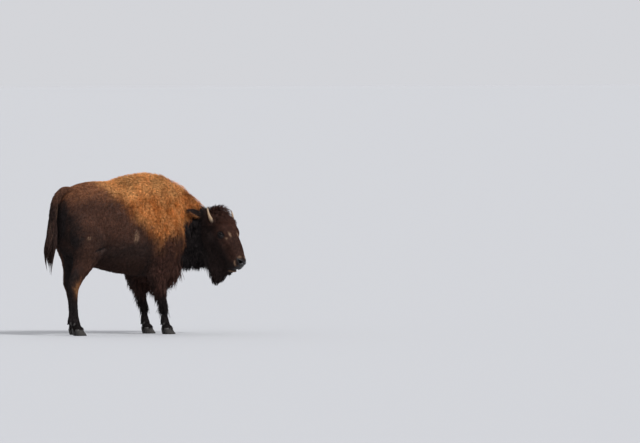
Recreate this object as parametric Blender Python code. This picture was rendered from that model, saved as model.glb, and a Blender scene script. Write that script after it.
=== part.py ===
"""A life-size American bison cow, standing square with its head turned to its right.

Metres, +Z up. The trunk lies along +X with its rump at -X, and the hump's peak is at X = 0
until stand_on_origin() moves the whole animal onto the middle of its own base.
The flesh is modelled whole, out to the tips of the coat, and then parted by region solids.
"""

import math

import bmesh
import bpy
import numpy as np
from mathutils import Matrix, Vector

# Driving sizes.
LEG_SPREAD = 0.165  # each leg's distance from the trunk's middle plane
HOOF_HEIGHT = 0.060
CLAW_SPACING = 0.0255  # from the foot's middle to each claw's
CLAW_INNER = 0.0235  # from a claw's middle to its flat inner wall
DEWCLAW_SIZES = (0.014, 0.011, 0.018)
DEWCLAW_BACK = 0.039  # behind the fetlock's middle
DEWCLAW_DROP = 0.020
DEWCLAW_ASIDE = 0.020
DEWCLAW_LEAN = math.radians(35)
GAP = 0.0003  # clearance left between neighbouring pieces
BODY_VOXEL = 0.011
BODY_TRIANGLES = 3300
RING_SIDES = 28
CREASE = math.radians(38)  # faces that meet more sharply than this keep a hard edge

# The head hangs from its poll. Yaw is about Z from +X, pitch is below the horizon.
POLL = Vector((0.671, -0.230, 1.120))
HEAD_YAW = math.radians(-73.0)
HEAD_PITCH = math.radians(61.0)
HEAD_ROLL = math.radians(-3.0)  # the head's right side is carried a little higher
EYE_RADIUS = 0.021
EYE_PLACE = (0.239, 0.108, 0.027)  # along the head, sideways, towards the forehead
ORBIT_SIZES = (0.032, 0.026, 0.021)
ORBIT_OUT = 0.034  # further out than the eye's middle
HORN_PLACE = (0.092, 0.118, 0.014)
HORN_RADIUS = 0.0215
HORN_RISE = {"left": 0.84, "right": 1.0}  # the left horn is the shorter
EAR_PLACE = (-0.020, 0.126, -0.090)
EAR_LENGTH = 0.150
EAR_WIDTH = 0.072

KNEE_CUT = 0.335
HOCK_CUT = 0.430

COAT = (0.075, 0.042, 0.026)
DARK_COAT = (0.016, 0.012, 0.011)
DARK_PIECES = ("head", "neck", "beard", "ear", "tail_switch", "foreleg_lower", "hindleg_lower")

# Trunk rings: x, height of the widest level, top, bottom, half width, roundness above.
TRUNK = (
    (-0.955, 1.04, 1.16, 0.86, 0.050, 2.0),
    (-0.925, 1.06, 1.26, 0.78, 0.125, 2.0),
    (-0.865, 1.06, 1.345, 0.72, 0.185, 2.0),
    (-0.770, 1.06, 1.405, 0.68, 0.228, 2.0),
    (-0.640, 1.05, 1.432, 0.650, 0.258, 1.9),
    (-0.480, 1.00, 1.443, 0.608, 0.290, 1.9),
    (-0.300, 0.95, 1.460, 0.570, 0.312, 1.8),
    (-0.130, 0.93, 1.487, 0.542, 0.308, 1.75),
    (0.000, 0.93, 1.502, 0.522, 0.292, 1.7),
    (0.130, 0.93, 1.492, 0.506, 0.272, 1.7),
    (0.250, 0.93, 1.475, 0.496, 0.242, 1.7),
    (0.340, 0.93, 1.445, 0.510, 0.192, 1.75),
    (0.420, 0.93, 1.330, 0.600, 0.100, 2.0),
)

# Neck rings: x, y, height of the middle, yaw in degrees, half width, rise, fall.
NECK = (
    (0.160, 0.000, 1.00, 0, 0.225, 0.480, 0.490),
    (0.300, 0.000, 0.99, -6, 0.195, 0.476, 0.488),
    (0.420, -0.020, 0.97, -20, 0.172, 0.438, 0.450),
    (0.510, -0.058, 0.95, -38, 0.160, 0.370, 0.400),
    (0.590, -0.120, 0.94, -55, 0.155, 0.300, 0.385),
    (0.650, -0.190, 0.94, -66, 0.150, 0.245, 0.365),
)

# Head rings: along the head from the poll, to the forehead side, to the jaw side, half width.
HEAD = (
    (-0.082, 0.020, 0.060, 0.060),
    (-0.055, 0.055, 0.130, 0.110),
    (0.000, 0.086, 0.180, 0.142),
    (0.070, 0.102, 0.205, 0.152),
    (0.150, 0.103, 0.205, 0.148),
    (0.225, 0.100, 0.190, 0.132),
    (0.300, 0.099, 0.170, 0.112),
    (0.375, 0.098, 0.150, 0.094),
    (0.445, 0.096, 0.134, 0.082),
    (0.510, 0.091, 0.128, 0.078),
    (0.558, 0.070, 0.124, 0.072),
    (0.588, 0.036, 0.104, 0.056),
)

# Leg rings: height, x, sideways offset, reach forward, reach back, half thickness.
FORELEG = (
    (1.180, 0.130, -0.050, 0.090, 0.090, 0.060),
    (1.060, 0.135, -0.020, 0.160, 0.160, 0.095),
    (0.900, 0.150, 0.020, 0.180, 0.180, 0.112),
    (0.760, 0.100, 0.030, 0.162, 0.165, 0.110),
    (0.640, 0.065, 0.015, 0.132, 0.155, 0.098),
    (0.530, 0.060, 0.005, 0.125, 0.150, 0.088),
    (0.450, 0.070, 0.000, 0.112, 0.140, 0.080),
    (0.390, 0.088, -0.005, 0.090, 0.126, 0.068),
    (0.340, 0.108, -0.008, 0.064, 0.108, 0.052),
    (0.300, 0.122, -0.008, 0.046, 0.084, 0.040),
    (0.262, 0.130, -0.008, 0.034, 0.040, 0.031),
    (0.200, 0.134, -0.008, 0.029, 0.030, 0.028),
    (0.155, 0.135, -0.008, 0.032, 0.036, 0.032),
    (0.122, 0.139, -0.008, 0.038, 0.042, 0.038),
    (0.092, 0.150, -0.008, 0.038, 0.038, 0.038),
    (0.0615, 0.162, -0.008, 0.050, 0.046, 0.051),
)
HINDLEG = (
    (1.230, -0.720, -0.060, 0.110, 0.130, 0.060),
    (1.120, -0.735, -0.030, 0.170, 0.185, 0.095),
    (0.960, -0.735, 0.000, 0.185, 0.205, 0.118),
    (0.820, -0.720, 0.015, 0.175, 0.190, 0.120),
    (0.720, -0.740, 0.010, 0.155, 0.145, 0.100),
    (0.630, -0.780, 0.000, 0.126, 0.108, 0.076),
    (0.550, -0.826, -0.005, 0.106, 0.082, 0.055),
    (0.500, -0.848, -0.005, 0.088, 0.074, 0.047),
    (0.440, -0.856, -0.005, 0.056, 0.058, 0.042),
    (0.380, -0.852, -0.005, 0.041, 0.042, 0.035),
    (0.290, -0.844, -0.005, 0.031, 0.033, 0.029),
    (0.190, -0.836, -0.005, 0.031, 0.034, 0.030),
    (0.130, -0.830, -0.005, 0.037, 0.041, 0.037),
    (0.095, -0.816, -0.005, 0.037, 0.037, 0.037),
    (0.0615, -0.802, -0.005, 0.048, 0.045, 0.048),
)
# How far each foot stands ahead of its ring table, in the animal's easy square stance.
FORE_STEP = {"right": 0.000, "left": -0.012}
HIND_STEP = {"right": -0.036, "left": 0.135}
STEP_TOP = 1.05  # above this height a step leaves the limb where it is

# Tail rings down its dock and switch: x, z, half width, half thickness.
TAIL = (
    (-0.720, 1.348, 0.034, 0.034),
    (-0.800, 1.374, 0.040, 0.036),
    (-0.890, 1.355, 0.042, 0.038),
    (-0.965, 1.288, 0.043, 0.038),
    (-1.003, 1.190, 0.046, 0.040),
    (-1.015, 1.090, 0.054, 0.042),
    (-1.018, 0.990, 0.064, 0.045),
    (-1.024, 0.880, 0.074, 0.048),
    (-1.030, 0.770, 0.076, 0.048),
    (-1.030, 0.670, 0.064, 0.040),
    (-1.022, 0.580, 0.042, 0.028),
    (-1.012, 0.490, 0.014, 0.010),
)
SWITCH_TOP = 0.985
TAIL_LEAN = 0.020  # the tail hangs this far to the animal's left

# The throat and beard under the jaw: height, place along the head's forward line, half length, half width.
BEARD = (
    (0.960, -0.010, 0.120, 0.110),
    (0.860, 0.050, 0.185, 0.115),
    (0.760, 0.070, 0.200, 0.105),
    (0.680, 0.085, 0.185, 0.085),
    (0.615, 0.095, 0.145, 0.058),
    (0.560, 0.058, 0.105, 0.044),
    (0.510, 0.018, 0.050, 0.028),
    (0.455, -0.002, 0.012, 0.008),
)


def clear_scene():
    for old in list(bpy.data.objects):
        bpy.data.objects.remove(old)


def material(name, colour, roughness):
    made = bpy.data.materials.new(name)
    made.use_nodes = True
    shader = made.node_tree.nodes["Principled BSDF"]
    shader.inputs["Base Color"].default_value = (*colour, 1.0)
    shader.inputs["Roughness"].default_value = roughness
    shader.inputs["Metallic"].default_value = 0.0
    return made


def smooth_rows(rows, between):
    """Catmull-Rom rows through the given ones, with a number of extra rows between each pair."""
    given = np.array(rows, float)
    ends = np.vstack([2 * given[0] - given[1], given, 2 * given[-1] - given[-2]])
    found = []
    for i in range(1, len(ends) - 2):
        before, start, end, after = ends[i - 1 : i + 3]
        for t in np.linspace(0, 1, between + 1, endpoint=False):
            bend = 2 * before - 5 * start + 4 * end - after
            twist = 3 * start - before - 3 * end + after
            found.append(start + 0.5 * t * (end - before + t * (bend + t * twist)))
    return np.array([*found, given[-1]])


def ring(centre, side, up, half, rise, fall, round_up=2.0, sides=RING_SIDES):
    """A closed outline round centre: half wide along side, rise high along up and fall deep."""
    points = []
    for turn in np.linspace(0, 2 * math.pi, sides, endpoint=False):
        across, above = math.cos(turn), math.sin(turn)
        power = 2 / (round_up if above > 0 else 2.0)
        reach = rise if above > 0 else fall
        across = math.copysign(abs(across) ** power, across)
        above = math.copysign(abs(above) ** power, above)
        points.append(centre + side * (half * across) + up * (reach * above))
    return points


def skinned(rings):
    """A closed bmesh over a row of rings, with a fan over each end."""
    bm = bmesh.new()
    loops = [[bm.verts.new(p) for p in points] for points in rings]
    for lower, upper in zip(loops, loops[1:]):
        for i in range(len(lower)):
            j = (i + 1) % len(lower)
            bm.faces.new((lower[i], lower[j], upper[j], upper[i]))
    for loop in (loops[0], loops[-1]):
        middle = bm.verts.new(sum((v.co for v in loop), Vector()) / len(loop))
        for i in range(len(loop)):
            bm.faces.new((loop[i], loop[(i + 1) % len(loop)], middle))
    bmesh.ops.recalc_face_normals(bm, faces=bm.faces)
    return bm


def ellipsoid(centre, sizes, turn=None, segments=24, rings=14):
    """A closed bmesh of an ellipsoid with the given half sizes."""
    bm = bmesh.new()
    bmesh.ops.create_uvsphere(bm, u_segments=segments, v_segments=rings, radius=1.0)
    shape = Matrix.Diagonal((*sizes, 1.0))
    bm.transform(Matrix.Translation(centre) @ (turn or Matrix()) @ shape)
    return bm


def object_of(name, bm, surface=None):
    bmesh.ops.triangulate(bm, faces=bm.faces)
    mesh = bpy.data.meshes.new(name)
    bm.to_mesh(mesh)
    bm.free()
    made = bpy.data.objects.new(name, mesh)
    bpy.context.scene.collection.objects.link(made)
    if surface:
        mesh.materials.append(surface)
    return made


def joined(bodies):
    """One bmesh that holds several, which are freed."""
    whole = bmesh.new()
    for bm in bodies:
        holder = bpy.data.meshes.new("holder")
        bm.to_mesh(holder)
        bm.free()
        whole.from_mesh(holder)
        bpy.data.meshes.remove(holder)
    return whole


def head_axes():
    """The head's unit vectors: along it, to its left, out of the forehead, and level forward."""
    forward = Vector((math.cos(HEAD_YAW), math.sin(HEAD_YAW), 0))
    roll = Matrix.Rotation(HEAD_ROLL, 3, forward)
    left = roll @ Vector((-forward.y, forward.x, 0))
    up = roll @ Vector((0, 0, 1))
    along = forward * math.cos(HEAD_PITCH) - up * math.sin(HEAD_PITCH)
    brow = forward * math.sin(HEAD_PITCH) + up * math.cos(HEAD_PITCH)
    return along, left, brow, forward


def head_point(along_by, left_by, brow_by):
    along, left, brow, _ = head_axes()
    return POLL + along * along_by + left * left_by + brow * brow_by


# ---- masses of the flesh and coat


def trunk_mass():
    side, up = Vector((0, 1, 0)), Vector((0, 0, 1))
    rings = []
    for x, middle, top, bottom, half, round_up in smooth_rows(TRUNK, 2):
        rings.append(ring(Vector((x, 0, middle)), side, up, half, top - middle, middle - bottom, round_up))
    return skinned(rings)


def neck_mass():
    rings = []
    for x, y, z, yaw, half, rise, fall in smooth_rows(NECK, 2):
        turn = math.radians(yaw)
        side = Vector((-math.sin(turn), math.cos(turn), 0))
        rings.append(ring(Vector((x, y, z)), side, Vector((0, 0, 1)), half, rise, fall, 1.6))
    return skinned(rings)


def head_mass():
    along, left, brow, _ = head_axes()
    rings = []
    for place, rise, fall, half in smooth_rows(HEAD, 2):
        rings.append(ring(POLL + along * place, left, brow, half, rise, fall, 2.6))
    return skinned(rings)


def head_details():
    """The brow hair, the cheeks, the nose pad and the lower jaw."""
    along, left, brow, _ = head_axes()
    turn = Matrix((along, left, brow)).transposed().to_4x4()
    yield ellipsoid(head_point(0.010, 0, 0.030), (0.085, 0.122, 0.080), turn)
    yield ellipsoid(head_point(0.538, 0, 0.030), (0.050, 0.072, 0.060), turn)
    yield ellipsoid(head_point(0.545, 0, -0.085), (0.038, 0.050, 0.036), turn)
    for hand in (1, -1):
        yield ellipsoid(head_point(0.140, 0.080 * hand, -0.100), (0.150, 0.080, 0.120), turn)
        yield ellipsoid(head_point(0.228, 0.088 * hand, 0.058), (0.055, 0.036, 0.034), turn)


def beard_mass():
    _, left, _, forward = head_axes()
    rings = []
    for z, place, half_length, half_width in smooth_rows(BEARD, 1):
        centre = POLL + forward * place
        centre.z = z
        rings.append(ring(centre, left, forward, half_width, half_length, half_length))
    return skinned(rings)


def leg_mass(rows, hand, step):
    """hand is +1 on the animal's left. A step moves the foot and leaves the limb's top."""
    rings = []
    for z, x, outward, front, back, half in smooth_rows(rows, 2):
        share = min(1.0, max(0.0, (STEP_TOP - z) / (STEP_TOP - HOCK_CUT)))
        centre = Vector((x + step * share, hand * (LEG_SPREAD + outward), z))
        rings.append(ring(centre, Vector((0, 1, 0)), Vector((1, 0, 0)), half, front, back))
    return skinned(rings)


def body_masses():
    yield trunk_mass()
    yield neck_mass()
    yield head_mass()
    yield from head_details()
    yield beard_mass()
    for name, hand in (("left", 1), ("right", -1)):
        yield leg_mass(FORELEG, hand, FORE_STEP[name])
        yield leg_mass(HINDLEG, hand, HIND_STEP[name])


def weigh(obj, group, weight_at):
    """Fills a vertex group from a function of each point's place."""
    made = obj.vertex_groups.new(name=group)
    for vertex in obj.data.vertices:
        weight = weight_at(vertex.co)
        if weight > 0:
            made.add([vertex.index], weight, "REPLACE")


def blend_weight(point):
    """1 where limbs meet the trunk, falling off down the legs and along the head."""
    leg = min(1.0, max(0.06, (point.z - 0.42) / 0.25))
    along, _, _, _ = head_axes()
    past = (point - POLL).dot(along)
    near_head = (Vector(point) - head_point(0.25, 0, -0.03)).length < 0.42
    if near_head and past > 0.05:
        return 0.16
    return leg


def baked(obj):
    """Replaces the object's mesh with what its modifiers make of it."""
    graph = bpy.context.evaluated_depsgraph_get()
    mesh = bpy.data.meshes.new_from_object(obj.evaluated_get(graph))
    obj.modifiers.clear()
    obj.vertex_groups.clear()
    obj.data = mesh
    return obj


def whole_body():
    """The flesh and coat as one closed surface with soft joins."""
    body = object_of("body", joined(body_masses()))
    fuse = body.modifiers.new("fuse", "REMESH")
    fuse.mode = "VOXEL"
    fuse.voxel_size = BODY_VOXEL
    baked(body)
    weigh(body, "joins", blend_weight)
    soften = body.modifiers.new("soften", "SMOOTH")
    soften.factor = 0.5
    soften.iterations = 26
    soften.vertex_group = "joins"
    baked(body)
    thin = body.modifiers.new("thin", "DECIMATE")
    thin.ratio = BODY_TRIANGLES / (2 * len(body.data.polygons))
    return baked(body)


# ---- parting the body


def boolean(obj, other, operation):
    cut = obj.modifiers.new("cut", "BOOLEAN")
    cut.operation = operation
    cut.solver = "EXACT"
    cut.object = other
    bpy.context.view_layer.update()
    return baked(obj)


def grown(obj, by=GAP):
    """A copy of the object whose surface stands out by the gap."""
    bm = bmesh.new()
    bm.from_mesh(obj.data)
    bmesh.ops.recalc_face_normals(bm, faces=bm.faces)
    bm.normal_update()
    for vertex in bm.verts:
        vertex.co += vertex.normal * by
    return object_of("grown", bm)


def remove(*objects):
    for obj in objects:
        bpy.data.objects.remove(obj)


def part_off(body, region, name, surface):
    """Moves what lies in the region out of body, into a new piece a gap away."""
    piece = bpy.data.objects.new(name, body.data.copy())
    bpy.context.scene.collection.objects.link(piece)
    boolean(piece, region, "INTERSECT")
    piece.data.materials.clear()
    piece.data.materials.append(surface)
    wider = grown(region)
    boolean(body, wider, "DIFFERENCE")
    remove(region, wider)
    return piece


def box_region(centre, sizes, turn=None):
    bm = bmesh.new()
    bmesh.ops.create_cube(bm, size=1.0)
    shape = Matrix.Diagonal((*sizes, 1.0))
    bm.transform(Matrix.Translation(centre) @ (turn or Matrix()) @ shape)
    return object_of("region", bm)


def beyond(point, yaw, lean=0.0, reach=2.0):
    """A box with one face through the point, facing back along the yaw, and tipped by lean."""
    turn = Matrix.Rotation(yaw, 4, "Z") @ Matrix.Rotation(lean, 4, "Y")
    centre = Vector(point) + turn @ Vector((reach / 2, 0, 0))
    return box_region(centre, (reach, reach, reach), turn)


def silo_region(centre_x, hand, half_x, middle_y, half_y, shoulder, top):
    """An upright oval column with a domed top, which takes a limb out of the trunk."""
    rows = ((-0.20, 1.0), (shoulder, 1.0), (shoulder + 0.62 * (top - shoulder), 0.78), (top, 0.22))
    rings = []
    for z, share in rows:
        centre = Vector((centre_x, hand * middle_y, z))
        length, width = half_x * share, half_y * share
        rings.append(ring(centre, Vector((0, 1, 0)), Vector((1, 0, 0)), width, length, length, sides=14))
    return object_of("region", skinned(rings))


def part_body(body, coat):
    """Parts the whole body into head, neck, beard and limbs. What is left is the trunk."""
    forward = head_axes()[3]
    head_back = POLL - forward * 0.105
    head_back.z = 0.90
    head = part_off(body, beyond(head_back, math.radians(-56), math.radians(-8)), "head", coat)
    jaw_turn = Matrix.Rotation(HEAD_YAW, 4, "Z") @ Matrix.Rotation(math.radians(14), 4, "Y")
    under_jaw = POLL + forward * 0.085
    under_jaw.z = 0.380
    part_off(head, box_region(under_jaw, (0.46, 0.50, 0.42), jaw_turn), "beard", coat)
    part_off(body, beyond((0.385, -0.02, 0.9), math.radians(-12)), "neck", coat)
    for name, hand in (("left", 1), ("right", -1)):
        fore = silo_region(0.085 + FORE_STEP[name], hand, 0.262, 0.315, 0.268, 0.60, 0.93)
        upper = part_off(body, fore, f"foreleg_upper_{name}", coat)
        split_leg(upper, KNEE_CUT, f"foreleg_lower_{name}", coat)
        hind = silo_region(-0.800 + 0.8 * HIND_STEP[name], hand, 0.262, 0.315, 0.272, 0.66, 1.06)
        upper = part_off(body, hind, f"hindleg_upper_{name}", coat)
        split_leg(upper, HOCK_CUT, f"hindleg_lower_{name}", coat)
    body.name = "trunk"
    body.data.materials.clear()
    body.data.materials.append(coat)
    return head


def split_leg(upper, height, name, coat):
    below = box_region(Vector((0, 0, height - 1.0)), (4.0, 4.0, 2.0))
    return part_off(upper, below, name, coat)


def let_in(host, piece, by=GAP):
    """Cuts room for the piece out of its host."""
    room = grown(piece, by)
    boolean(host, room, "DIFFERENCE")
    remove(room)


# ---- separate organs


def eye(name, hand, surface):
    along, side, up = EYE_PLACE
    bm = ellipsoid(head_point(along, side * hand, up), (EYE_RADIUS,) * 3, segments=12, rings=8)
    return object_of(name, bm, surface)


def orbit(hand):
    """The hollow in which the eye sits, open to the side of the head."""
    a, left, b, _ = head_axes()
    turn = Matrix((a, left, b)).transposed().to_4x4()
    along, side, up = EYE_PLACE
    centre = head_point(along, (side + ORBIT_OUT) * hand, up)
    return object_of("orbit", ellipsoid(centre, ORBIT_SIZES, turn, 12, 8))


def horn(name, hand, lift, surface):
    """A short horn that leaves the skull sideways and turns up."""
    _, left, _, forward = head_axes()
    base = head_point(HORN_PLACE[0], HORN_PLACE[1] * hand, HORN_PLACE[2])
    # Out from the skull, up, forward, and the radius there as a share of the base's.
    rows = (
        (-0.030, -0.020, 0.000, 1.04),
        (0.012, -0.004, 0.000, 1.00),
        (0.040, 0.020, -0.003, 0.84),
        (0.058, 0.052, -0.009, 0.60),
        (0.065, 0.084, -0.017, 0.42),
        (0.065, 0.114, -0.026, 0.27),
        (0.061, 0.138, -0.034, 0.06),
    )
    path = smooth_rows(rows, 1)
    up = forward.cross(left) * lift
    places = [base + left * (hand * out) + up * rise + forward * ahead for out, rise, ahead, _ in path]
    rings = []
    for i, row in enumerate(path):
        tangent = places[min(i + 1, len(path) - 1)] - places[max(i - 1, 0)]
        across = tangent.cross(forward).normalized()
        front = across.cross(tangent).normalized()
        radius = HORN_RADIUS * row[3]
        rings.append(ring(places[i], across, front, radius, radius, radius, sides=10))
    return object_of(name, skinned(rings), surface)


def ear(name, hand, surface):
    """A leaf-shaped ear with a hollowed front, pointing out and back."""
    _, left, _, forward = head_axes()
    root = head_point(EAR_PLACE[0], EAR_PLACE[1] * hand, EAR_PLACE[2])
    out = (left * (0.87 * hand) - forward * 0.34 + Vector((0, 0, 0.36))).normalized()
    face = (forward - out * forward.dot(out)).normalized()
    broad = out.cross(face).normalized()
    # Share of the length, share of the width, thickness, how far the middle is hollowed.
    rows = (
        (-0.22, 0.42, 0.020, 0.000),
        (0.00, 0.52, 0.018, 0.004),
        (0.25, 0.86, 0.015, 0.012),
        (0.50, 1.00, 0.013, 0.015),
        (0.75, 0.78, 0.011, 0.010),
        (0.93, 0.38, 0.008, 0.004),
        (1.00, 0.08, 0.004, 0.000),
    )
    rings = []
    for place, share, thick, hollow in rows:
        centre = root + out * (EAR_LENGTH * place)
        half = EAR_WIDTH / 2 * share
        points = []
        for turn in np.linspace(0, 2 * math.pi, 12, endpoint=False):
            across = math.cos(turn)
            depth = thick * math.sin(turn) - hollow * (1 - across * across)
            points.append(centre + broad * (half * across) + face * depth)
        rings.append(points)
    return object_of(name, skinned(rings), surface)


def tail_pieces(coat, trunk):
    """The dock and the switch of long hair under it."""
    rings = []
    rows = smooth_rows(TAIL, 1)
    for i, (x, z, half, thick) in enumerate(rows):
        before, after = rows[max(i - 1, 0)], rows[min(i + 1, len(rows) - 1)]
        tangent = Vector((after[0] - before[0], 0, after[1] - before[1])).normalized()
        back = tangent.cross(Vector((0, 1, 0))).normalized()
        lean = TAIL_LEAN * min(1.0, max(0.0, (1.36 - z) / 0.4))
        rings.append(ring(Vector((x, lean, z)), Vector((0, 1, 0)), back, half, thick, thick, sides=10))
    dock = object_of("tail", skinned(rings), coat)
    below = box_region(Vector((-1.0, 0, SWITCH_TOP - 0.5)), (0.6, 0.6, 1.0))
    part_off(dock, below, "tail_switch", coat)
    let_in(trunk, dock)


def claw(name, centre, hand, surface):
    """One half of a cloven hoof: flat sole, sloping front wall, rounded outside."""
    # Height, shift forward, reach forward, reach back, half width.
    rows = (
        (0.0000, 0.010, 0.060, 0.050, 0.0255),
        (0.0060, 0.010, 0.062, 0.051, 0.0270),
        (0.0400, -0.006, 0.051, 0.046, 0.0250),
        (HOOF_HEIGHT, -0.012, 0.041, 0.039, 0.0210),
    )
    rings = []
    for z, shift, front, back, half in rows:
        middle = Vector((centre.x + shift, centre.y, z))
        rings.append(ring(middle, Vector((0, 1, 0)), Vector((1, 0, 0)), half, front, back, 1.7, 12))
    bm = skinned(rings)
    inner = centre.y - hand * CLAW_INNER
    keep = Vector((0, hand, 0))
    cut = bmesh.ops.bisect_plane(
        bm, geom=[*bm.verts, *bm.edges, *bm.faces], plane_co=(0, inner, 0), plane_no=-keep, clear_outer=True
    )
    edges = [e for e in cut["geom_cut"] if isinstance(e, bmesh.types.BMEdge)]
    bmesh.ops.contextual_create(bm, geom=edges)
    bmesh.ops.recalc_face_normals(bm, faces=bm.faces)
    return object_of(name, bm, surface)


def dewclaw(name, centre, surface):
    turn = Matrix.Rotation(DEWCLAW_LEAN, 4, "Y")
    bm = ellipsoid(centre, DEWCLAW_SIZES, turn, 6, 4)
    return object_of(name, bm, surface)


def feet(surface):
    """Two claws and two dewclaws under every leg."""
    for leg, rows, steps in (("fore", FORELEG, FORE_STEP), ("hind", HINDLEG, HIND_STEP)):
        coronet, fetlock = rows[-1], rows[-3]
        for name, hand in (("left", 1), ("right", -1)):
            y = hand * (LEG_SPREAD + coronet[2])
            x = coronet[1] + steps[name]
            for place, side in (("outer", hand), ("inner", -hand)):
                centre = Vector((x, y + side * CLAW_SPACING, 0))
                claw(f"hoof_{leg}_{name}_{place}", centre, side, surface)
                behind = fetlock[1] + steps[name] - DEWCLAW_BACK
                spot = Vector((behind, y + side * DEWCLAW_ASIDE, fetlock[0] - DEWCLAW_DROP))
                spur = dewclaw(f"dewclaw_{leg}_{name}_{place}", spot, surface)
                let_in(bpy.data.objects[f"{leg}leg_lower_{name}"], spur)


def stand_on_origin():
    """Moves every piece so that the middle of the animal's base is the origin."""
    meshes = [o.data for o in bpy.data.objects if o.type == "MESH"]
    points = np.array([v.co[:] for mesh in meshes for v in mesh.vertices])
    low, high = points.min(0), points.max(0)
    shift = Vector((-(low[0] + high[0]) / 2, -(low[1] + high[1]) / 2, -low[2]))
    for mesh in meshes:
        mesh.transform(Matrix.Translation(shift))


def finish_surfaces():
    """Gives each piece a surface of its own, black where the coat is, and shades the round forms smooth."""
    for piece in [o for o in bpy.data.objects if o.type == "MESH"]:
        surface = piece.data.materials[0].copy()
        surface.name = piece.name
        if piece.name.startswith(DARK_PIECES):
            surface.node_tree.nodes["Principled BSDF"].inputs["Base Color"].default_value = (*DARK_COAT, 1)
        piece.data.materials[0] = surface
        piece.data.shade_smooth()
        piece.data.set_sharp_from_angle(angle=CREASE)


def main():
    clear_scene()
    coat = material("coat", COAT, 0.9)
    keratin = material("horn", (0.42, 0.33, 0.22), 0.45)
    hoof = material("hoof", (0.045, 0.036, 0.030), 0.5)
    wet = material("eye", (0.012, 0.008, 0.006), 0.08)
    body = whole_body()
    head = part_body(body, coat)
    for name, hand in (("left", 1), ("right", -1)):
        hollow = orbit(hand)
        boolean(head, hollow, "DIFFERENCE")
        remove(hollow)
        let_in(head, eye(f"eye_{name}", hand, wet))
        let_in(head, horn(f"horn_{name}", hand, HORN_RISE[name], keratin))
        let_in(head, ear(f"ear_{name}", hand, coat))
    # The head is turned so far that the right ear lies in the coat of the neck.
    let_in(bpy.data.objects["neck"], bpy.data.objects["ear_right"])
    tail_pieces(coat, bpy.data.objects["trunk"])
    feet(hoof)
    finish_surfaces()
    stand_on_origin()


main()
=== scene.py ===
"""Skin, coat, eyes, horns and hooves of a life-size model bison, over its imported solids.

Metres, +Z up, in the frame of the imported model. Body places are measured from under the
hump's peak, and head places along the head, to its left and out of its forehead.
"""

import math

import bmesh
import bpy
import numpy as np
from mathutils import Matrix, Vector


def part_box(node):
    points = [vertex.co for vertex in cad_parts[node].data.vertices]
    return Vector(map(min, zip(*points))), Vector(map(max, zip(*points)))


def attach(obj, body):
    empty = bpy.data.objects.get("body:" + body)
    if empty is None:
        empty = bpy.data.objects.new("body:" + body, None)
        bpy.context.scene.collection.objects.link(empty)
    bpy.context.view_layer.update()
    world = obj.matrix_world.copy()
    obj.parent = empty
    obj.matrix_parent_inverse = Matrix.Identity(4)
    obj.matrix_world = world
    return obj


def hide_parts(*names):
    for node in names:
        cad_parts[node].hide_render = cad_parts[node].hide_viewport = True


bl_info = {
    "name": "Model Bison Looks",
    "version": (1, 0, 0),
    "blender": (4, 5, 0),
    "location": "View3D > Sidebar > Bison",
    "description": "Skin, coat, eyes, horns and hooves of a life-size model bison",
    "category": "Object",
}

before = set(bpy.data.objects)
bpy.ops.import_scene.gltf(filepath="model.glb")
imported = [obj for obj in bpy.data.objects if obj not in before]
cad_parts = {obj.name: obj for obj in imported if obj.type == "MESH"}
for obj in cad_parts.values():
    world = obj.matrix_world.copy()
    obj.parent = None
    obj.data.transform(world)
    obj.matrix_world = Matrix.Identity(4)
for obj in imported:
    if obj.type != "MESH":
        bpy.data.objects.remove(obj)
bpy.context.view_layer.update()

TAU = 2 * math.pi
UP = np.array((0.0, 0.0, 1.0))
ACROSS = np.array((0.0, 1.0, 0.0))
SIDES = (("left", 1), ("right", -1))
HANDS = (1, -1)
LEGS = ("fore", "hind")

# Flesh nodes that the skin is grown from, and all those that it stands for.
LIMBS = tuple(
    f"{leg}leg_{part}_{side}" for leg in LEGS for part in ("upper", "lower") for side, _ in SIDES
)
GROWN_FROM = ("trunk", "neck", "head", *LIMBS)
FLESH = (*GROWN_FROM, "ear_left", "ear_right", "tail")

SKIN_VOXEL = 0.0120
OVERLAP = 0.0015  # nodes grow by this much, so that the gaps between them close
BAKE_PATCH = 0.003  # width of each lock's own patch in the map that the bakes use

# Seeds of everything that is drawn at random.
PATCH_SEED, FINE_SEED = 3, 5
COAT_SEED, COAT_CLUMP_SEED = 11, 21
TAIL_SEED, SWITCH_SEED = 31, 37
BEARD_SEED, BEARD_CLUMP_SEED = 41, 43
LASH_SEED = 61

# The head hangs from its poll, pitched below the horizon. Head places are those of the left side.
HEAD_PITCH = math.radians(61.0)
EYE_PLACE = np.array((0.239, 0.108, 0.027))
HORN_PLACE = np.array((0.092, 0.118, 0.014))
EAR_PLACE = np.array((-0.020, 0.126, -0.090))
EAR_LENGTH = 0.146
EAR_WIDTH = 0.064


# ---- places


def unit(v):
    """Vectors divided by their lengths."""
    v = np.asarray(v, float)
    return v / np.maximum(np.linalg.norm(v, axis=-1, keepdims=True), 1e-9)


def ease(low, high, value):
    """0 below low, 1 above high, and a smooth step between. low may be above high."""
    t = np.clip((np.asarray(value, float) - low) / (high - low), 0, 1)
    return t * t * (3 - 2 * t)


def bell(value, middle, spread):
    """A smooth bump of height 1 at the middle."""
    return np.exp(-(((value - middle) / spread) ** 2))


def node_middle(name):
    """The middle of a node's box."""
    low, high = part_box(name)
    return (np.array(low) + np.array(high)) / 2


def head_frame():
    """The poll, and the head's unit vectors: along it, to its left, out of its forehead, level forward."""
    left_eye, right_eye = node_middle("eye_left"), node_middle("eye_right")
    left = unit(left_eye - right_eye)
    forward = unit(np.cross(left, UP))
    up = np.cross(forward, left)
    along = forward * math.cos(HEAD_PITCH) - up * math.sin(HEAD_PITCH)
    brow = forward * math.sin(HEAD_PITCH) + up * math.cos(HEAD_PITCH)
    poll = (left_eye + right_eye) / 2 - along * EYE_PLACE[0] - brow * EYE_PLACE[2]
    return poll, along, left, brow, forward


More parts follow.
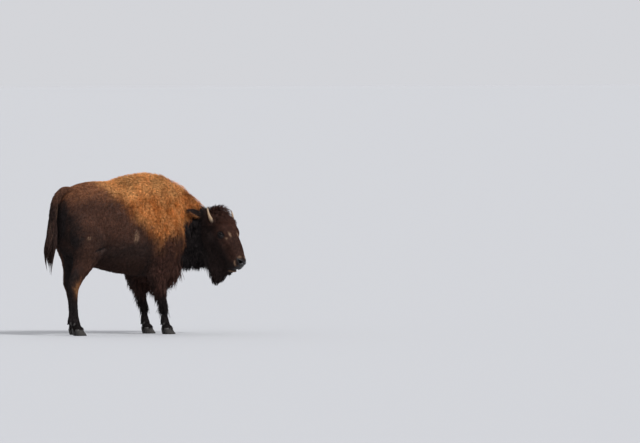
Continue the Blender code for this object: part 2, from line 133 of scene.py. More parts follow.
POLL, ALONG, LEFT, BROW, FORWARD = head_frame()
HEAD_AXES = np.array((ALONG, LEFT, BROW))
# Under the hump's peak, on the ground. The trunk is the same on both sides of its spine.
HOOF_AHEAD = 0.182
SPINE_Y = float(node_middle("trunk")[1])
HUMP_X = float(node_middle("hoof_fore_right_outer")[0]) - HOOF_AHEAD
HUMP_FOOT = np.array((HUMP_X, SPINE_Y, 0.0))
LEG_Y = 0.157  # from the spine out to a foreleg


def head_place(points):
    """Each point's place along the head, to its left and out of its forehead."""
    return (points - POLL) @ HEAD_AXES.T


def head_point(place, hand):
    """The point at a head place of the left side, or at its mirror place where hand is -1."""
    return POLL + (np.array(place) * (1, hand, 1)) @ HEAD_AXES


def body_place(points):
    """Each point's place ahead of the hump, to the spine's left and above the ground."""
    return points - HUMP_FOOT


def hashed(count, seed, columns):
    """Rows of seeded numbers from 0 to 1."""
    return np.random.default_rng(seed).random((count, columns))


def round_turns(count):
    """Angles evenly spaced round a circle."""
    return np.linspace(0, TAU, count, endpoint=False)


# Large odd numbers that scatter a lattice corner's place and its seed over the bits of a number.
SCATTER = np.array((73856093, 19349663, 83492791))
SCATTER_SEED = 2654435761
SCATTER_AGAIN = 1274126177
LOW_BITS = 0xFFFF


def lattice_noise(points, size, seed):
    """Smooth noise from 0 to 1: seeded values at the corners of cubes, blended inside each cube."""
    place = np.asarray(points, float) / size
    cell = np.floor(place).astype(np.int64)
    t = place - cell
    t = t * t * (3 - 2 * t)
    total = 0.0
    for corner in np.ndindex(2, 2, 2):
        key = cell + np.array(corner)
        bits = np.bitwise_xor.reduce(key * SCATTER, axis=1) ^ seed * SCATTER_SEED
        bits = (bits ^ (bits >> 13)) * SCATTER_AGAIN
        value = ((bits ^ (bits >> 16)) & LOW_BITS) / LOW_BITS
        share = np.prod(np.where(np.array(corner) == 1, t, 1 - t), axis=1)
        total = total + value * share
    return total


# ---- meshes


def new_object(name, verts, quads=None, tris=None):
    """A smooth mesh object from whole arrays of points and faces."""
    mesh = bpy.data.meshes.new(name)
    quads = np.zeros((0, 4), np.int32) if quads is None else np.asarray(quads, np.int32)
    tris = np.zeros((0, 3), np.int32) if tris is None else np.asarray(tris, np.int32)
    corners = np.concatenate([quads.ravel(), tris.ravel()])
    sizes = np.concatenate([np.full(len(quads), 4, np.int32), np.full(len(tris), 3, np.int32)])
    mesh.vertices.add(len(verts))
    mesh.vertices.foreach_set("co", np.asarray(verts, np.float32).ravel())
    mesh.loops.add(len(corners))
    mesh.loops.foreach_set("vertex_index", corners)
    mesh.polygons.add(len(sizes))
    mesh.polygons.foreach_set("loop_start", np.concatenate([[0], np.cumsum(sizes)[:-1]]).astype(np.int32))
    mesh.polygons.foreach_set("use_smooth", np.ones(len(sizes), bool))
    mesh.update(calc_edges=True)
    mesh.validate()
    made = bpy.data.objects.new(name, mesh)
    bpy.context.scene.collection.objects.link(made)
    return made


def gathered(items, key, width, kind=np.float32):
    """One value of every item of a mesh, as an array with a row for each item."""
    found = np.empty(len(items) * width, kind)
    items.foreach_get(key, found)
    return found.reshape(-1, width)


def points_of(mesh):
    """Places of the mesh's points."""
    return gathered(mesh.vertices, "co", 3).astype(float)


def put_points(mesh, points):
    """Moves the mesh's points to the given places."""
    mesh.vertices.foreach_set("co", np.asarray(points, np.float32).ravel())
    mesh.update()


def normals_of(mesh):
    """Ways out of the mesh at its points."""
    return gathered(mesh.vertex_normals, "vector", 3).astype(float)


def edges_of(mesh):
    """Pairs of points joined by an edge."""
    return gathered(mesh.edges, "vertices", 2, np.int32)


def corners_of(mesh):
    """The point at each face corner."""
    return gathered(mesh.loops, "vertex_index", 1, np.int32)[:, 0]


def evened(values, edges, weight, turns):
    """Values at the points, each moved by its weight towards its neighbours' mean, several times."""
    at, other = np.concatenate([edges, edges[:, ::-1]]).T
    count = np.maximum(np.bincount(at, minlength=len(values)), 1)[:, None]
    values = np.array(values, float).reshape(len(values), -1)
    weight = np.broadcast_to(np.asarray(weight, float).reshape(-1, 1), (len(values), 1))
    for _ in range(turns):
        total = np.stack([np.bincount(at, column[other], minlength=len(values)) for column in values.T], 1)
        values = values + (total / count - values) * weight
    return values


def relaxed(points, edges, weight, turns):
    """Evens the points and then swells them back as much, so that thin limbs keep their girth."""
    for _ in range(turns):
        points = evened(points, edges, 0.5 * np.asarray(weight), 1)
        points = evened(points, edges, -0.52 * np.asarray(weight), 1)
    return points


def store(mesh, name, values):
    """Keeps a number for each of the mesh's points, under a name that materials can read."""
    made = mesh.attributes.get(name) or mesh.attributes.new(name, "FLOAT", "POINT")
    made.data.foreach_set("value", np.asarray(values, np.float32))


def read(mesh, name):
    """The numbers that store kept under a name."""
    return gathered(mesh.attributes[name].data, "value", 1)[:, 0].astype(float)


def remeshed(obj, voxel):
    """Fuses the object's shells into one closed skin of even faces, the size of a voxel."""
    made = obj.modifiers.new("fuse", "REMESH")
    made.mode = "VOXEL"
    made.voxel_size = voxel
    graph = bpy.context.evaluated_depsgraph_get()
    mesh = bpy.data.meshes.new_from_object(obj.evaluated_get(graph))
    old = obj.data
    obj.modifiers.clear()
    obj.data = mesh
    bpy.data.meshes.remove(old)


def tube(rings):
    """A closed surface over k rings of m points, which closes at each end on the ring's middle.
    Its faces point out of it: they are turned if its volume comes out negative."""
    rings = np.asarray(rings, float)
    k, m, _ = rings.shape
    verts = np.concatenate([rings.reshape(-1, 3), rings[0].mean(0)[None], rings[-1].mean(0)[None]])
    i, j = np.meshgrid(np.arange(k - 1), np.arange(m), indexing="ij")
    a = i * m + j
    b = i * m + (j + 1) % m
    quads = np.stack([a, b, b + m, a + m], -1).reshape(-1, 4)
    j = np.arange(m)
    start = np.stack([(j + 1) % m, j, np.full(m, k * m)], 1)
    end = np.stack([(k - 1) * m + j, (k - 1) * m + (j + 1) % m, np.full(m, k * m + 1)], 1)
    tris = np.concatenate([start, end])
    corners = (verts - verts.mean(0))[np.concatenate([tris, quads[:, :3], quads[:, [0, 2, 3]]])]
    volume = np.einsum("ij,ij->i", corners[:, 0], np.cross(corners[:, 1], corners[:, 2])).sum()
    return (verts, quads, tris) if volume > 0 else (verts, quads[:, ::-1], tris[:, ::-1])


def smooth_rows(rows, count):
    """Catmull-Rom values through the given rows, at evenly spaced places along them."""
    given = np.array(rows, float)
    ends = np.vstack([2 * given[0] - given[1], given, 2 * given[-1] - given[-2]])
    place = np.linspace(0, len(given) - 1 - 1e-9, count)
    i = place.astype(int)
    t = (place - i)[:, None]
    before, start, end, after = (ends[i + n] for n in range(4))
    bend = 2 * before - 5 * start + 4 * end - after
    twist = 3 * start - before - 3 * end + after
    return start + 0.5 * t * (end - before + t * (bend + t * twist))


# ---- zones of the coat

# Depth of the coat, length of its locks, their width, how far they rise (share of the depth), curl,
# hang (share of the length), roots per square metre.
ZONES = {
    "rump": (0.010, 0.041, 0.0070, 0.8, 0.03, 0.00, 11500),
    "belly": (0.016, 0.046, 0.0074, 0.8, 0.06, 0.20, 11500),
    "cape": (0.034, 0.056, 0.0074, 0.9, 0.11, 0.10, 20500),
    "shoulder": (0.028, 0.056, 0.0078, 0.9, 0.09, 0.15, 16500),
    "brisket": (0.050, 0.120, 0.0100, 0.7, 0.14, 0.50, 12000),
    "neck": (0.050, 0.090, 0.0100, 0.8, 0.14, 0.25, 12000),
    "dewlap": (0.036, 0.100, 0.0096, 0.6, 0.12, 0.45, 13500),
    "crown": (0.056, 0.082, 0.0070, 1.15, 0.18, 0.04, 33000),
    "face": (0.006, 0.016, 0.0034, 0.7, 0.03, 0.00, 62000),
    "muzzle": (0.003, 0.011, 0.0027, 0.8, 0.02, 0.00, 80000),
    "cheek": (0.014, 0.038, 0.0054, 0.9, 0.10, 0.15, 30000),
    "jaw": (0.026, 0.080, 0.0080, 0.7, 0.12, 0.45, 18000),
    "chaps": (0.026, 0.100, 0.0086, 0.8, 0.10, 0.40, 17500),
    "shin": (0.004, 0.024, 0.0060, 0.8, 0.03, 0.00, 30000),
    "dock": (0.008, 0.050, 0.0070, 0.9, 0.04, 0.20, 18000),
    "ear": (0.012, 0.045, 0.0046, 1.0, 0.06, 0.35, 26000),
    "ridge": (0.034, 0.078, 0.0070, 1.75, 0.12, 0.05, 26000),
    "cuff": (0.008, 0.036, 0.0050, 2.4, 0.04, 0.10, 46000),
}
ZONE_NAMES = tuple(ZONES)
FIELD_NAMES = ("depth", "length", "width", "rise", "curl", "hang", "crowd")


def cape_edge(height):
    """Where the woolly cape ends behind, as a place along the trunk, at each height."""
    return np.interp(height, (0.50, 0.75, 0.88, 1.11, 1.39, 1.50), (0.02, 0.00, -0.04, -0.25, -0.50, -0.55))


def neck_front(place):
    """How far a body place is beyond the start of the dark neck: a wavy line, further back below the ear."""
    x, _, z = place.T
    return x - 0.362 - 0.02 * np.sin(z * 23) + 0.065 * bell(z, 1.08, 0.05)


def neck_top(x, y):
    """Height above which the neck is gold: a line that climbs forward and falls towards the crest."""
    return 1.06 + 0.85 * (x - 0.32) - 0.45 * np.clip(0.25 - np.abs(y), 0, None)


# What a point of the skin belongs to: 0 is the body.
EAR_ORGAN, DOCK_ORGAN = 1, 2


def zone_weights(points, organ):
    """Each zone's share at every point. Later zones are laid over earlier ones."""
    place = body_place(points)
    x, y, z = place.T
    a, l, b = head_place(points).T
    shares = {name: np.zeros(len(points)) for name in ZONE_NAMES}
    shares["rump"] += 1

    def lay(name, mask):
        """Gives the zone its mask's share, and takes that share from all the others."""
        for other in shares.values():
            other *= 1 - mask
        shares[name] += mask

    lay("belly", ease(0.74, 0.62, z) * ease(-0.62, -0.50, x))
    lay("cape", ease(-0.10, 0.12, x - cape_edge(z)) * ease(0.72, 0.86, z))
    along_hump = ease(-0.35, -0.20, x) * ease(0.30, 0.22, x)
    lay("ridge", ease(0.11, 0.06, np.abs(y)) * ease(1.34, 1.40, z) * along_hump)
    lay("shoulder", ease(-0.14, -0.04, x) * ease(0.92, 0.78, z))
    lay("brisket", ease(0.16, 0.28, x) * ease(0.86, 0.70, z))
    fore, hind = x > -0.3, x < -0.3
    lay("chaps", fore * ease(0.60, 0.50, z) * ease(0.34, 0.26, x))
    lay("shin", fore * ease(0.285, 0.245, z))
    lay("shin", hind * ease(0.52, 0.42, z))
    lay("cuff", ease(0.105, 0.085, z))
    lay("neck", ease(0.00, 0.08, neck_front(place)) * ease(0.52, 0.60, z))
    lay("cape", ease(0.28, 0.34, x) * ease(-0.02, 0.05, z - neck_top(x, y)))
    lay("dewlap", ease(0.28, 0.34, x) * ease(0.78, 0.70, z) * (1 - fore * ease(0.52, 0.48, z)))
    head = head_mask(points)
    lay("cheek", head)
    lay("jaw", head * ease(-0.075, -0.125, b) * ease(0.50, 0.44, a))
    lay("face", head * ease(0.060, 0.170, a) * ease(-0.075, -0.01, b + 0.22 * (a - 0.25)))
    lay("crown", head * ease(0.175, 0.060, a + 0.12 * np.abs(l)) * ease(-0.12, -0.06, b))
    lay("muzzle", head * ease(0.475, 0.53, a) * ease(-0.14, -0.11, b))
    lay("ear", (organ == EAR_ORGAN).astype(float))
    lay("dock", (organ == DOCK_ORGAN).astype(float))
    return shares


HEAD_JOIN_TURN = math.radians(-56)
HEAD_JOIN_BACK = 0.105


def head_mask(points):
    """1 on the head and 0 behind the ears. The join is a slanting plane, turned less than the head."""
    back = POLL - FORWARD * HEAD_JOIN_BACK
    toward = np.array((math.cos(HEAD_JOIN_TURN), math.sin(HEAD_JOIN_TURN), 0.0))
    return ease(-0.01, 0.05, (points - back) @ toward + 0.13 * (points[:, 2] - 0.90))


def coat_fields(points, organ):
    """The size and set of the coat's locks at every point, as arrays by name."""
    shares = zone_weights(points, organ)
    table = np.array([ZONES[name] for name in ZONE_NAMES])
    mixed = np.stack([shares[name] for name in ZONE_NAMES], 1) @ table
    return dict(zip(FIELD_NAMES, mixed.T)), shares


# ---- the skin


# Flesh under the eyes, the horns and the ears: place in the head's directions, and half sizes there.
PLUGS = (
    ((0.239, 0.090, 0.027), (0.050, 0.031, 0.036)),
    ((0.092, 0.098, 0.014), (0.038, 0.046, 0.038)),
    ((-0.020, 0.108, -0.090), (0.045, 0.032, 0.052)),
)
# Flesh where the tail leaves the rump: place on the body, and half sizes.
TAIL_PLUG = ((-0.755, 0.0, 1.338), (0.100, 0.052, 0.056))


def globe():
    """Rings of a unit ball about the first axis, from near one pole to near the other."""
    lat = np.linspace(0.12, math.pi - 0.12, 16)[:, None]
    turn = round_turns(20)[None]
    ones = np.ones_like(turn)
    return np.stack([np.cos(lat) * ones, np.sin(lat) * np.cos(turn), np.sin(lat) * np.sin(turn)], -1)


# From fetlock to coronet: height, place ahead of the hoof's middle, half length, half width.
PASTERN = (
    (0.185, -0.036, 0.034, 0.030),
    (0.150, -0.037, 0.039, 0.034),
    (0.122, -0.034, 0.047, 0.040),
    (0.098, -0.024, 0.045, 0.040),
    (0.074, -0.010, 0.045, 0.045),
    (0.048, 0.001, 0.049, 0.051),
)


# A claw's middle, back from its toe and out from its inner side.
CLAW_BACK = 0.072
CLAW_ASIDE = 0.0237


def foot_middle(leg, name):
    """The middle of a foot's two claws, on the ground."""
    boxes = np.array([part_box(f"hoof_{leg}_{name}_{place}") for place in ("inner", "outer")])
    low, high = boxes[:, 0], boxes[:, 1]
    return np.array((high[:, 0].mean() - CLAW_BACK, (low[:, 1].min() + high[:, 1].max()) / 2, 0.0))


def pastern_rings(leg, name):
    """Ovals carried from the fetlock down to the coronet."""
    z, ahead, long, wide = smooth_rows(PASTERN, 24).T
    turn = round_turns(28)
    x = ahead[:, None] + long[:, None] * np.cos(turn)
    y = wide[:, None] * np.sin(turn)
    return foot_middle(leg, name) + np.stack([x, y, np.broadcast_to(z[:, None], x.shape)], -1)


def joined_flesh():
    """The flesh nodes' copies as one mesh, each merged and grown a little, with the orbits and the
    rooms of horns, ears and tail filled and the pasterns brought down to the hooves."""
    verts, faces, start = [], [], 0
    fills = [
        head_point(middle, hand) + (globe() * sizes) @ HEAD_AXES
        for middle, sizes in PLUGS
        for hand in HANDS
    ]
    middle, sizes = TAIL_PLUG
    fills.append(HUMP_FOOT + middle + globe() * sizes)
    fills += [pastern_rings(leg, name) for leg in LEGS for name, _ in SIDES]
    for rings in fills:
        shell, quads, tris = tube(rings)
        verts.append(shell)
        faces += [quads[:, :3] + start, quads[:, [0, 2, 3]] + start, tris + start]
        start += len(shell)
    for name in GROWN_FROM:
        bm = bmesh.new()
        bm.from_mesh(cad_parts[name].data)
        bmesh.ops.remove_doubles(bm, verts=bm.verts, dist=1e-5)
        holder = bpy.data.meshes.new("holder")
        bm.to_mesh(holder)
        bm.free()
        verts.append(points_of(holder) + normals_of(holder) * OVERLAP)
        faces.append(corners_of(holder).reshape(-1, 3) + start)
        start += len(holder.vertices)
        bpy.data.meshes.remove(holder)
    return new_object("skin", np.concatenate(verts), tris=np.concatenate(faces))


# A foreleg's bone: height, place along the trunk, and the flesh's radius about it.
FORE_BONE = (
    (0.06, 0.160, 0.060),
    (0.092, 0.150, 0.046),
    (0.12, 0.141, 0.045),
    (0.16, 0.135, 0.038),
    (0.20, 0.134, 0.033),
    (0.26, 0.130, 0.038),
    (0.30, 0.124, 0.046),
    (0.34, 0.114, 0.052),
    (0.39, 0.098, 0.060),
    (0.45, 0.080, 0.080),
    (0.53, 0.055, 0.110),
    (0.62, 0.055, 0.170),
)
# How far ahead of it each foreleg stands.
FORE_STEP = {1: -0.012, -1: 0.0}
# The jaw's underside under its hair: places along the head, and out of the forehead.
JAW_ALONG = (-0.05, 0.10, 0.25, 0.40, 0.50, 0.56, 0.60)
JAW_OUT = (-0.150, -0.170, -0.185, -0.190, -0.174, -0.152, -0.136)
NECK_UNDERSIDE = 0.80
# The fold of skin before the thigh: place along the trunk and height of its middle, height of its
# shade, and its slope.
FOLD_X, FOLD_Z, FOLD_SHADE_Z, FOLD_SLOPE = -0.63, 0.80, 0.817, 0.25


def above_fold(x, z):
    """Heights measured from the fold's sloping line, as if it were level."""
    return z - FOLD_SLOPE * (x + 0.62)


def slimmed(points):
    """Takes the long hair off the shape: the chaps behind the forelegs, and what hangs under neck
    and jaw. A foreleg's points move in to the flesh's radius about its bone, and low points are
    lifted by a share. The fold before the thigh is a dent along a sloping line."""
    place = body_place(points)
    x, y, z = place.T
    hand = np.where(y > 0, 1.0, -1.0)
    heights, places, radii = np.array(FORE_BONE).T
    radius = np.interp(z, heights, radii)
    bone = np.interp(z, heights, places) + np.where(hand > 0, FORE_STEP[1], FORE_STEP[-1])
    dx, dy = x - bone, y - hand * LEG_Y
    reach = np.hypot(dx, dy)
    share = np.minimum(1, radius / np.maximum(reach, 1e-6))
    weight = ease(0.60, 0.50, z) * (x > -0.25) * (x < 0.36)
    share = 1 + (share - 1) * weight
    points = points + np.stack([dx * (share - 1), dy * (share - 1), np.zeros(len(points))], 1)
    lifted = ease(0.24, 0.40, x) * np.clip(NECK_UNDERSIDE - points[:, 2], 0, None) * (1 - head_mask(points))
    points = points + lifted[:, None] * 0.40 * UP
    fold = 0.042 * bell(x, FOLD_X, 0.06) * bell(above_fold(x, z), FOLD_Z, 0.020)
    points = points - (hand * fold)[:, None] * ACROSS
    spot = head_place(points)
    a, _, b = spot.T
    deep = np.clip(np.interp(a, JAW_ALONG, JAW_OUT) - b, 0, None) * head_mask(points)
    spot[:, 2] += deep * 0.85
    return POLL + spot @ HEAD_AXES


SINKING_STEPS = 5


def sunk(mesh):
    """Moves the mesh's points in by the coat's depth, in small steps along evened normals."""
    edges = edges_of(mesh)
    points = points_of(mesh)
    organ = np.zeros(len(points))
    depth = evened(coat_fields(points, organ)[0]["depth"], edges, 0.5, 10)[:, 0] + OVERLAP
    for _ in range(SINKING_STEPS):
        put_points(mesh, points)
        normal = unit(evened(normals_of(mesh), edges, 0.5, 6))
        points = points - normal * (depth / SINKING_STEPS)[:, None]
        points = relaxed(points, edges, 1.0, 2)
    put_points(mesh, points)


def refined(obj, chosen_at):
    """Halves the edges of the faces whose middles are chosen."""
    bm = bmesh.new()
    bm.from_mesh(obj.data)
    middles = np.array([f.calc_center_median()[:] for f in bm.faces])
    chosen = chosen_at(middles)
    edges = {e for f, keep in zip(bm.faces, chosen) if keep for e in f.edges}
    bmesh.ops.subdivide_edges(bm, edges=list(edges), cuts=1, use_grid_fill=True)
    bmesh.ops.triangulate(bm, faces=[f for f in bm.faces if len(f.verts) > 4])
    bm.to_mesh(obj.data)
    bm.free()
    obj.data.update()


def face_region(points):
    """Which points are on the face."""
    a, l, b = head_place(points).T
    return (a > 0.10) & (b > -0.17) & (a < 0.70) & (np.abs(l) < 0.2) & (b < 0.2)


def fine_region(points):
    """Which points are on the muzzle, the corner of the mouth or the lids."""
    a, l, b = head_place(points).T
    muzzle = (a > 0.47) & (a < 0.70) & (np.abs(l) < 0.15)
    lips = (a > 0.40) & (a < 0.5) & (np.abs(b + 0.062) < 0.025)
    return face_region(points) & (muzzle | lips | near_eye(points, 0.052))


def near_eye(points, radius):
    """Which points are within a radius of either eye's middle."""
    found = np.zeros(len(points), bool)
    for hand in HANDS:
        found |= np.linalg.norm(points - head_point(EYE_PLACE, hand), axis=1) < radius
    return found


def eye_axes(hand):
    """The eye's outward look, its long way towards the nose, and its upward way."""
    look = unit(LEFT * hand * 0.86 + BROW * 0.42 + ALONG * 0.16)
    long = ALONG * 0.72 + BROW * 0.60
    long = unit(long - look * (long @ look))
    rise = unit(np.cross(long, look) * -hand)
    if rise[2] < 0:
        rise = -rise
    return look, long, rise


# The ball's radius, the opening's half length and its reach over and under its middle, and the
# power of its outline, which is an ellipse at 2 and a rhombus at 1.
EYE_RADIUS = 0.0230
EYE_LONG, EYE_OVER, EYE_UNDER = 0.0205, 0.0112, 0.0092
EYE_POWER = 1.75
# The ball is followed out to this share of its radius, at this thickness of lid.
BALL_SHARE = 0.93
LID_THICKNESS = 0.0024


def eye_measure(points, hand):
    """Places in the eye's own directions, and a size that is 1 on the lids' edge."""
    look, long, rise = eye_axes(hand)
    off = points - head_point(EYE_PLACE, hand)
    out, h, v = off @ look, off @ long, off @ rise
    high = np.where(v > 0, EYE_OVER, EYE_UNDER)
    size = ((np.abs(h) / EYE_LONG) ** EYE_POWER + (np.abs(v) / high) ** EYE_POWER) ** (1 / EYE_POWER)
    return out, h, v, size


def lidded(points, hand):
    """Shapes the lids: over the eye the skin follows its ball at a lid's thickness, inside the
    lids' edge it drops behind the ball, and it eases into the face further out, never under the ball."""
    look = eye_axes(hand)[0]
    out, h, v, size = eye_measure(points, hand)
    reach = np.hypot(h, v)
    edge = BALL_SHARE * EYE_RADIUS
    ball = np.sqrt(np.clip(EYE_RADIUS**2 - np.minimum(reach, edge) ** 2, 0, None))
    beyond = np.clip(reach - edge, 0, None)
    lid = ball + LID_THICKNESS - 0.10 * beyond
    # A crease over and under the lids, and the brow's fold above.
    lid -= 0.0016 * bell(size, 1.62, 0.13) * ease(0.0, 0.006, v)
    lid -= 0.0012 * bell(size, 1.80, 0.14) * ease(0.0, -0.006, v)
    lid += 0.0050 * bell(size, 2.35, 0.5) * ease(0.0, 0.012, v)
    own = ease(1.45, 3.0, size)
    target = np.maximum(lid * (1 - own) + out * own, ball + 0.0018 - 0.6 * beyond)
    target = target - 0.012 * ease(1.0, 0.86, size)
    near = (np.abs(out) < 0.06) & (size < 3.0)
    return points + look * (np.where(near, target - out, 0))[:, None]


# The mouth's line seen from the side, from its corner to its front: places along the head and
# out of the forehead.
MOUTH = np.array(
    (
        (0.430, -0.128),
        (0.470, -0.118),
        (0.510, -0.100),
        (0.545, -0.076),
        (0.572, -0.046),
        (0.590, -0.012),
        (0.606, 0.012),
    )
)


def mouth_gap(a, b):
    """Distance from the mouth's line: above 0 on the upper lip's side, below 0 on the lower's."""
    best = np.full(np.shape(a), 1e9)
    signed = np.zeros(np.shape(a))
    for start, end in zip(MOUTH[:-1], MOUTH[1:]):
        run = end - start
        along = np.clip(((a - start[0]) * run[0] + (b - start[1]) * run[1]) / (run @ run), 0, 1)
        off_a, off_b = a - start[0] - along * run[0], b - start[1] - along * run[1]
        far = np.hypot(off_a, off_b)
        turn = np.sign(run[0] * off_b - run[1] * off_a)
        closer = far < best
        best = np.where(closer, far, best)
        signed = np.where(closer, far * turn, signed)
    return signed


# The left nostril's head place, its half length, its half width, and how much narrower that gets upwards.
NOSTRIL = np.array((0.541, 0.0340, 0.060))
NOSTRIL_LONG, NOSTRIL_WIDE, NOSTRIL_TAPER = 0.0265, 0.0122, 0.12


def nostril_measure(spot, hand):
    """How far each head place is from a nostril's middle, bent like a comma and 1 on its rim; the
    way out of it, and the height above its middle."""
    out = unit(np.array((0.66, 0.46 * hand, 0.60)))
    rise = np.array((-0.50, 0.70 * hand, -0.08))
    rise = unit(rise - out * (rise @ out))
    across = np.cross(out, rise) * hand
    off = spot - NOSTRIL * (1, hand, 1)
    u, w, o = off @ rise, off @ across, off @ out
    w = w - 8.0 * u * u
    width = NOSTRIL_WIDE - NOSTRIL_TAPER * u
    size = np.sqrt((u / NOSTRIL_LONG) ** 2 + (w / np.clip(width, 0.005, None)) ** 2)
    return size, out, o


def sculpted(mesh):
    """Works the face: brow and cheekbone, the narrow lower jaw, lips, nostrils, chin and lids.
    Each is a smooth bump or dent over head places, moved along the evened normals."""
    edges = edges_of(mesh)
    points = points_of(mesh)
    head = head_mask(points)
    weight = head * ease(0.08, 0.16, head_place(points)[:, 0])
    points = relaxed(points, edges, weight, 4)
    spot = head_place(points)
    a, l, b = spot.T
    off = mouth_gap(a, b)
    low = ease(0.004, -0.012, off) * ease(0.44, 0.50, a) * head
    spot[:, 0] -= 0.007 * low * ease(0.50, 0.56, a) * ease(-0.12, -0.09, b)
    spot[:, 0] += 0.030 * ease(-0.095, -0.150, b) * ease(0.38, 0.50, a) * head
    spot[:, 1] *= 1 - 0.12 * low
    # The muzzle's rounded front, the nose pad's sides, and a waist behind them.
    spot[:, 0] -= 0.010 * np.clip((l / 0.05) ** 2, 0, 1.5) * ease(0.53, 0.58, a) * head
    spot[:, 1] *= 1 - 0.08 * bell(off, 0.004, 0.018) * ease(0.50, 0.56, a) * head
    spot[:, 1] *= 1 + 0.06 * bell(a, 0.550, 0.026) * bell(b, 0.035, 0.040) * head
    spot[:, 1] *= 1 - 0.06 * bell(a, 0.475, 0.030) * ease(-0.02, 0.02, b) * head
    points = POLL + spot @ HEAD_AXES
    put_points(mesh, points)
    normal = unit(evened(normals_of(mesh), edges, 0.5, 3))
    spot = head_place(points)
    a, l, b = spot.T
    side = np.abs(l)
    off = mouth_gap(a, b)
    # Bridge of the nose, brow, hollow before the eye, cheekbone, and the hollow under it.
    push = 0.009 * bell(a, 0.41, 0.12) * ease(0.020, 0.060, b)
    push += 0.010 * bell(a, 0.200, 0.040) * bell(side, 0.098, 0.028) * bell(b, 0.078, 0.022)
    push -= 0.009 * bell(a, 0.310, 0.030) * bell(side, 0.085, 0.022) * bell(b, 0.055, 0.025)
    push -= 0.008 * bell(a, 0.365, 0.050) * bell(b, 0.020, 0.025) * ease(0.03, 0.07, side)
    push += 0.008 * bell(b, -0.012 - 0.22 * (a - 0.3), 0.016) * bell(a, 0.31, 0.08) * ease(0.05, 0.08, side)
    push -= 0.007 * bell(a, 0.42, 0.05) * bell(b, -0.060, 0.030) * ease(0.03, 0.06, side)
    push += 0.008 * bell(a, 0.22, 0.09) * bell(b, -0.095, 0.05) * ease(0.05, 0.10, side)
    # Lips, chin, the mouth's cut and the groove between the nostrils.
    push += 0.0050 * bell(off, 0.015, 0.010) * ease(0.47, 0.53, a)
    push += 0.0055 * bell(off, -0.012, 0.009) * ease(0.49, 0.54, a)
    push += 0.0110 * bell(b, -0.112, 0.024) * ease(0.49, 0.54, a)
    push -= 0.0120 * bell(off, 0.0, 0.0042) * ease(0.440, 0.475, a)
    groove = bell(l, 0, 0.0032) * ease(0.550, 0.565, a)
    push -= 0.0022 * groove * ease(0.006, 0.016, off) * ease(0.070, 0.050, b)
    points = points + normal * (push * head * ease(0.10, 0.18, a))[:, None]
    for hand in HANDS:
        spot = head_place(points)
        size, out, depth = nostril_measure(spot, hand)
        near = (spot[:, 1] * hand > 0.002) & (np.abs(depth) < 0.030) & (size < 4)
        drop = 0.034 * ease(1.08, 0.40, size) - 0.0055 * bell(size, 1.42, 0.30)
        spot = spot - out * (drop * near)[:, None]
        points = POLL + spot @ HEAD_AXES
    for hand in HANDS:
        points = lidded(points, hand)
    put_points(mesh, points)


def ear_axes(hand):
    """An ear's root, its way out to the tip, the way its mouth faces, and the way across it."""
    root = head_point(EAR_PLACE, hand)
    out = unit(LEFT * (0.87 * hand) - FORWARD * 0.34 + UP * 0.36)
    facing = unit(FORWARD - out * (FORWARD @ out))
    return root, out, facing, np.cross(out, facing)


def ear_drop(points):
    """How far points lie below the middle line of the nearer ear."""
    drop = []
    for hand in HANDS:
        root, _, _, broad = ear_axes(hand)
        down = broad * (-1 if broad[2] > 0 else 1)
        drop.append((points - root) @ down)
    return np.where(head_place(points)[:, 1] > 0, drop[0], drop[1])


def ear_rings(hand):
    """A leaf-shaped ear. Across it a bowed line is carried from root to tip, doubled back on itself
    to give the ear its thickness, and the bow is deepest over the ear's mouth."""
    root, out, facing, broad = ear_axes(hand)
    # Share of the length, share of the width, thickness, depth of the hollow.
    rows = (
        (-0.20, 0.36, 0.0130, 0.0000),
        (0.00, 0.50, 0.0085, 0.0060),
        (0.14, 0.74, 0.0060, 0.0200),
        (0.30, 0.92, 0.0050, 0.0240),
        (0.50, 0.98, 0.0042, 0.0200),
        (0.72, 0.78, 0.0034, 0.0130),
        (0.90, 0.42, 0.0026, 0.0050),
        (0.985, 0.07, 0.0012, 0.0005),
    )
    place, share, thick, hollow = smooth_rows(rows, 34).T
    turn = round_turns(40)
    across, through = np.cos(turn), np.sin(turn)
    half = EAR_WIDTH / 2 * np.clip(share, 0.02, None) * 0.94
    depth = thick[:, None] * through - hollow[:, None] * (1 - across**2) ** 0.8 + (hollow * 0.35)[:, None]
    centre = root + out * (EAR_LENGTH * 0.97 * place)[:, None]
    return centre[:, None] + broad * (half[:, None] * across)[..., None] + facing * depth[..., None]


# The tail's dock: place along the trunk, height, radius.
DOCK = (
    (-0.745, 1.290, 0.016),
    (-0.812, 1.346, 0.026),
    (-0.890, 1.345, 0.029),
    (-0.958, 1.283, 0.028),
    (-0.994, 1.190, 0.026),
    (-1.008, 1.090, 0.024),
    (-1.014, 1.000, 0.021),
    (-1.018, 0.930, 0.015),
    (-1.020, 0.905, 0.005),
)
TAIL_LEAN = 0.020  # how far to the left it hangs


def dock_rings():
    """Rings carried down the dock's line, each square to it."""
    x, z, radius = smooth_rows(DOCK, 44).T
    lean = TAIL_LEAN * np.clip((1.36 - z) / 0.4, 0, 1)
    centre = np.stack([x, lean, z], 1) + HUMP_FOOT
    tangent = unit(np.gradient(centre, axis=0))
    side = unit(np.cross(tangent, ACROSS))
    wide = np.cross(tangent, side)
    turn = round_turns(20)
    ring = wide[:, None] * np.cos(turn)[None, :, None] * 1.15 + side[:, None] * np.sin(turn)[None, :, None]
    return centre[:, None] + ring * np.clip(radius, 0.003, None)[:, None, None]


